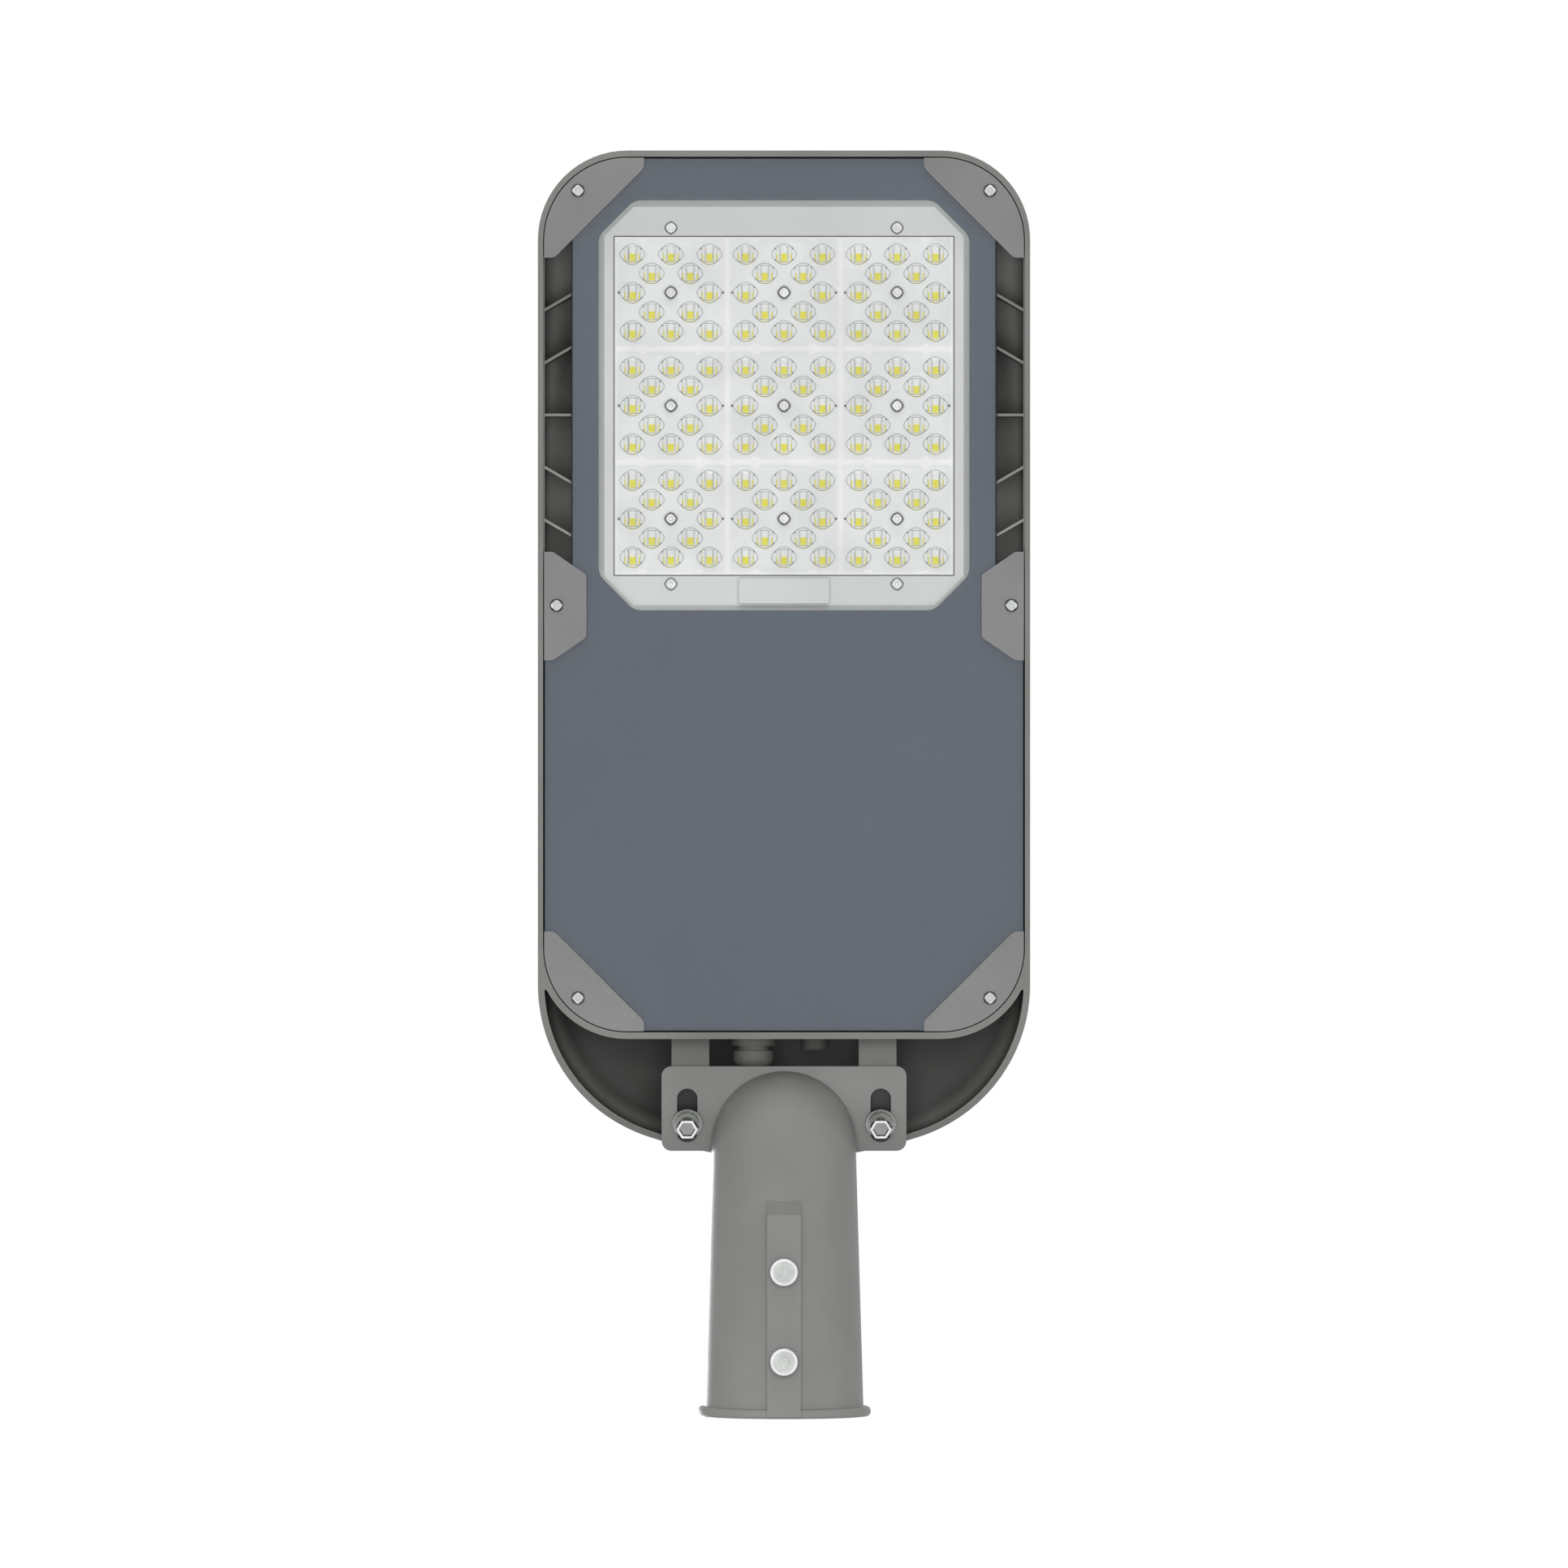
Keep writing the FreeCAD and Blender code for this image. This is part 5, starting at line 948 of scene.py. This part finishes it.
# The bands of a head from its seat out: outline, share of its radius, share of its height, coat.
SOCKET_HEAD = (
    (disc, 1, 0, STEEL),
    (disc, 1, 0.8, DULL),
    (hexagon, 1, 1, PAINTED_HIGHLIGHT),
    (hexagon, 0.76, 1, PAINTED_SHADE),
    (hexagon, 0.7, 0.84, DULL),
    (disc, 0.4, 0.83, DULL),
)
DISHED_HEAD = (
    (disc, 1, 0, STEEL),
    (disc, 1, 0.84, PAINTED_HIGHLIGHT),
    (disc, 0.96, 0.94, PAINTED_HIGHLIGHT),
    (disc, 0.88, 1, PAINTED_HIGHLIGHT),
    (disc, 0.76, 1, STEEL),
    (disc, 0.69, 0.955, STEEL),
    (hexagon, 0.42, 0.955, STEEL),
    (hexagon, 0.4, 0.88, STEEL),
)


def shank(radius, long):
    """The bands of a shank that points up from a seat at height 0, with the thread's root and crest."""
    start = long - radius * 0.4
    bands = [(disc(radius * 0.7, long), STEEL), (disc(radius, start), STEEL)]
    for turn in range(int((long - radius) / THREAD_PITCH)):
        height = start - (turn + 0.5) * THREAD_PITCH
        bands.append((disc(radius * 0.9, height), STEEL))
        bands.append((disc(radius, height - THREAD_PITCH / 2), STEEL))
    bands.append((disc(radius, 0), STEEL))
    return bands


def small_screw(radius, high, long, shadow_ring, face):
    """The bands of a small screw: a ring of painted contact shadow and a crowned head with a painted
    highlight, each with its own fullness.
    """
    head = radius - SHADOW_RING_WIDE
    return shank(radius * SMALL_SHANK, long) + [
        (disc(radius, 0, shadow_ring), PAINTED_SHADE),
        (disc(radius, -SHADOW_RING_THICK, shadow_ring), PAINTED_SHADE),
        (disc(head, -SHADOW_RING_THICK, face), STEEL),
        (disc(head, -high * 0.72, face), PAINTED_HIGHLIGHT),
        (disc(head * 0.8, -high, face + 0.1), STEEL),
        (disc(head * 0.4, -high), STEEL),
        (disc(head * 0.32, -high * 0.86), STEEL),
    ]


def large_screw(radius, high, long, thickness, head):
    """The bands of a large screw: a shank as thick as a share of its head, and the head."""
    bands = [(outline(radius * share, -high * rise), coat) for outline, share, rise, coat in head]
    return shank(radius * thickness, long) + bands


def stamp(form, bands, matrix):
    """A closed form of stacked outlines. Each band is an outline and the coat from there to the next."""
    loops = [ring(form, [matrix @ Vector(point) for point in outline]) for outline, coat in bands]
    coats = [coat for outline, coat in bands]
    stack(form, loops, coats)
    for loop in loops:
        mark_sharp(form, loop)
    cap(form, loops[0], coats[0])
    cap(form, loops[-1], coats[-1])


def upright_screws(node, head_high, screw, *shape):
    """The form of a node's upright screws, whose heads point down."""
    form = bmesh.new()
    for low, high in islands(node):
        middle = (low + high) / 2
        seat = low.z + head_high
        bands = screw((high.x - low.x) / 2, head_high, high.z - seat, *shape)
        stamp(form, bands, Matrix.Translation((middle.x, middle.y, seat)))
    return form


def leaning_bolts(node, head_high, lean):
    """The form of a node's leaning bolts, which point at the tilt axis from below."""
    form = bmesh.new()
    for low, high in islands(node):
        middle = (low + high) / 2
        radius = (high.x - low.x) / 2
        face = (TILT_AXIS.z - low.z - radius * math.sin(lean)) / math.cos(lean)
        tip = (TILT_AXIS.z - high.z) / math.cos(lean) + radius * BOLT_SHANK * math.tan(lean)
        seat = face - head_high
        place = Matrix.Translation((middle.x, TILT_AXIS.y, TILT_AXIS.z)) @ Matrix.Rotation(lean, 4, "X")
        bands = large_screw(radius, head_high, seat - tip, BOLT_SHANK, SOCKET_HEAD)
        stamp(form, bands, place @ Matrix.Translation((0, 0, -seat)))
    return form


class STREETLIGHT_OT_finish_fasteners(bpy.types.Operator):
    """Give the screws and bolts their detailed heads and threads, and finish the washers"""

    bl_idname = "street_light.finish_fasteners"
    bl_label = "Finish the fasteners"

    def execute(self, context):
        colours, sizes = context.scene.street_light_colours, context.scene.street_light_sizes
        coats = [
            metal_material("bright_steel", colours.steel, roughness=0.24, stretch=TURNED),
            # Brighter and darker copies of the steel, for painted highlights and painted shade.
            metal_material("painted_highlight_steel", colours.painted_highlight, roughness=0.12),
            metal_material("painted_shade_steel", colours.painted_shade_steel, roughness=0.5),
            metal_material("washer_steel", colours.washer, roughness=0.3, stretch=BRUSHED),
        ]

        def replace(node, kind, body, form, layers):
            bmesh.ops.recalc_face_normals(form, faces=form.faces)
            name = f"{kind}_{node}"
            new_piece(name, new_mesh(name, form, layers), body, node)

        for node, (shadow_ring, face, coat) in SMALL_SCREWS.items():
            form = upright_screws(node, sizes.small_head_high, small_screw, shadow_ring, face)
            replace(node, "crowned", HEAD, form, (coats[coat], coats[PAINTED_HIGHLIGHT], coats[PAINTED_SHADE]))
        form = upright_screws("clamp_screws", sizes.clamp_head_high, large_screw, CLAMP_SHANK, DISHED_HEAD)
        replace("clamp_screws", "dished", ADAPTER, form, coats[:PAINTED_SHADE])
        form = leaning_bolts("tilt_bolts", sizes.bolt_head_high, sizes.bolt_lean)
        replace("tilt_bolts", "socket", HEAD, form, coats)
        dress(["tilt_flat_washers", "tilt_spring_washers"], coats[DULL])
        return {"FINISHED"}


def soft_lamp(name, target, off, watts, side):
    """A large square lamp that stands off a point and faces it."""
    lamp = bpy.data.lights.new(name, "AREA")
    lamp.energy = watts
    lamp.shape = "SQUARE"
    lamp.size = side
    item = new_object(name, lamp, target + off)
    item.rotation_euler = (-off).to_track_quat("-Z", "Y").to_euler()
    return item


def set_world(sky):
    """White behind everything and in reflections, and an even soft light on the lamp head."""
    world = bpy.data.worlds.new("studio")
    bpy.context.scene.world = world
    world.use_nodes = True
    build = Tree(world.node_tree)
    world.node_tree.nodes.clear()
    ray = build.add("ShaderNodeLightPath")
    seen = build.math("MAXIMUM", ray.outputs["Is Camera Ray"], ray.outputs["Is Transmission Ray"])
    seen = build.math("MAXIMUM", seen, ray.outputs["Is Glossy Ray"])
    unlit = build.math("LESS_THAN", ray.outputs["Diffuse Depth"], 0.5)
    strength = build.remap(build.all_of(seen, unlit), 0, 1, sky, 1.0)
    light = build.add("ShaderNodeBackground", Color=WHITE, Strength=strength)
    build.feed(build.add("ShaderNodeOutputWorld").inputs["Surface"], light.outputs[0])


def floor_material():
    """Pale floor that keeps shadows. It only shows from above, so it hides nothing from a camera under it."""
    material, build = new_material("pale_floor")[:2]
    place = build.place()
    tone = build.spread(build.noise(place, scale=3.0, detail=4.0), 0.49, 0.51)
    shade = build.add("ShaderNodeCombineColor", Red=tone, Green=tone, Blue=tone)
    matt = build.add("ShaderNodeBsdfDiffuse", Color=shade.outputs[0])
    glow = build.add("ShaderNodeEmission", Strength=FLOOR_GLOW)
    pale = build.add("ShaderNodeAddShader")
    build.feed(pale.inputs[0], matt.outputs[0])
    build.feed(pale.inputs[1], glow.outputs[0])
    front = build.math("SUBTRACT", 1.0, build.add("ShaderNodeNewGeometry").outputs["Backfacing"])
    shown = build.all_of(build.add("ShaderNodeLightPath").outputs["Is Camera Ray"], front)
    show_blend(build, shown, build.add("ShaderNodeBsdfTransparent"), pale)
    return material


# Where the nose lamp stands off the middle of the head, in lamp distances, and the high lamp, in metres.
NOSE_LAMP_WAY, HIGH_LAMP_OFF = (0, -0.77, -0.64), (-0.8, 0.6)
FLOOR_HALF_WIDE, FLOOR_GLOW = 15, 0.4


class STREETLIGHT_OT_set_stage(bpy.types.Operator):
    """Set the camera under the head, the soft lamps, the white surroundings and the floor"""

    bl_idname = "street_light.set_stage"
    bl_label = "Set the stage"

    def execute(self, context):
        scene, stage = context.scene, context.scene.street_light_stage
        scene.view_settings.view_transform = "Standard"
        set_world(stage.sky)
        camera = bpy.data.cameras.new("camera")
        camera.lens = camera.sensor_width * stage.camera_far / stage.view_wide
        camera.clip_end = 100
        glass_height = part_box("glass_cover")[0].z
        scene.camera = new_object("camera", camera, (0, -stage.view_reach, glass_height - stage.camera_far))
        scene.camera.rotation_euler = (math.pi, 0, 0)

        middle, far, side = Vector((0, -stage.view_reach, 0)), stage.lamp_far, stage.lamp_wide
        low = soft_lamp("low_lamp", middle, Vector((0, 0, -far)), stage.low_lamp, side)
        low.visible_glossy = low.visible_transmission = False
        soft_lamp("nose_lamp", middle, Vector(NOSE_LAMP_WAY) * far, stage.nose_lamp, side / 2)
        soft_lamp("high_lamp", middle, Vector((*HIGH_LAMP_OFF, far)), stage.high_lamp, side)

        form = bmesh.new()
        bmesh.ops.create_grid(form, x_segments=8, y_segments=8, size=FLOOR_HALF_WIDE)
        mesh = new_mesh("floor", form, [floor_material()])
        new_object("floor", mesh, (0, 0, -stage.floor_drop))
        return {"FINISHED"}


OPERATORS = (
    STREETLIGHT_OT_coat_castings,
    STREETLIGHT_OT_glaze,
    STREETLIGHT_OT_finish_clips,
    STREETLIGHT_OT_finish_led_room,
    STREETLIGHT_OT_mould_lenses,
    STREETLIGHT_OT_finish_gear,
    STREETLIGHT_OT_finish_fasteners,
    STREETLIGHT_OT_set_stage,
)
SETTINGS = {
    "street_light_colours": StreetLightColours,
    "street_light_sizes": StreetLightSizes,
    "street_light_stage": StreetLightStage,
}


class STREETLIGHT_PT_panel(bpy.types.Panel):
    """The steps that finish the street light head"""

    bl_label = "Street light head"
    bl_idname = "STREETLIGHT_PT_panel"
    bl_space_type = "VIEW_3D"
    bl_region_type = "UI"
    bl_category = "Street Light"

    def draw(self, context):
        for group_name, group_type in SETTINGS.items():
            for name in group_type.__annotations__:
                self.layout.prop(getattr(context.scene, group_name), name)
        for step in OPERATORS:
            self.layout.operator(step.bl_idname)


CLASSES = (*SETTINGS.values(), *OPERATORS, STREETLIGHT_PT_panel)


def register():
    """Make the settings, steps and panel known."""
    for item in CLASSES:
        bpy.utils.register_class(item)
    for name, group_type in SETTINGS.items():
        setattr(bpy.types.Scene, name, bpy.props.PointerProperty(type=group_type))


def unregister():
    """Take them away again."""
    for name in SETTINGS:
        delattr(bpy.types.Scene, name)
    for item in reversed(CLASSES):
        bpy.utils.unregister_class(item)


def main():
    """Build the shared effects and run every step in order."""
    register()
    make_soft_edges()
    make_powder_coat()
    make_machined_metal()
    make_moulded_plastic()
    make_clear_haze()
    for step in OPERATORS:
        family, name = step.bl_idname.split(".")
        getattr(getattr(bpy.ops, family), name)()
    bpy.context.view_layer.update()


if __name__ == "__main__":
    main()
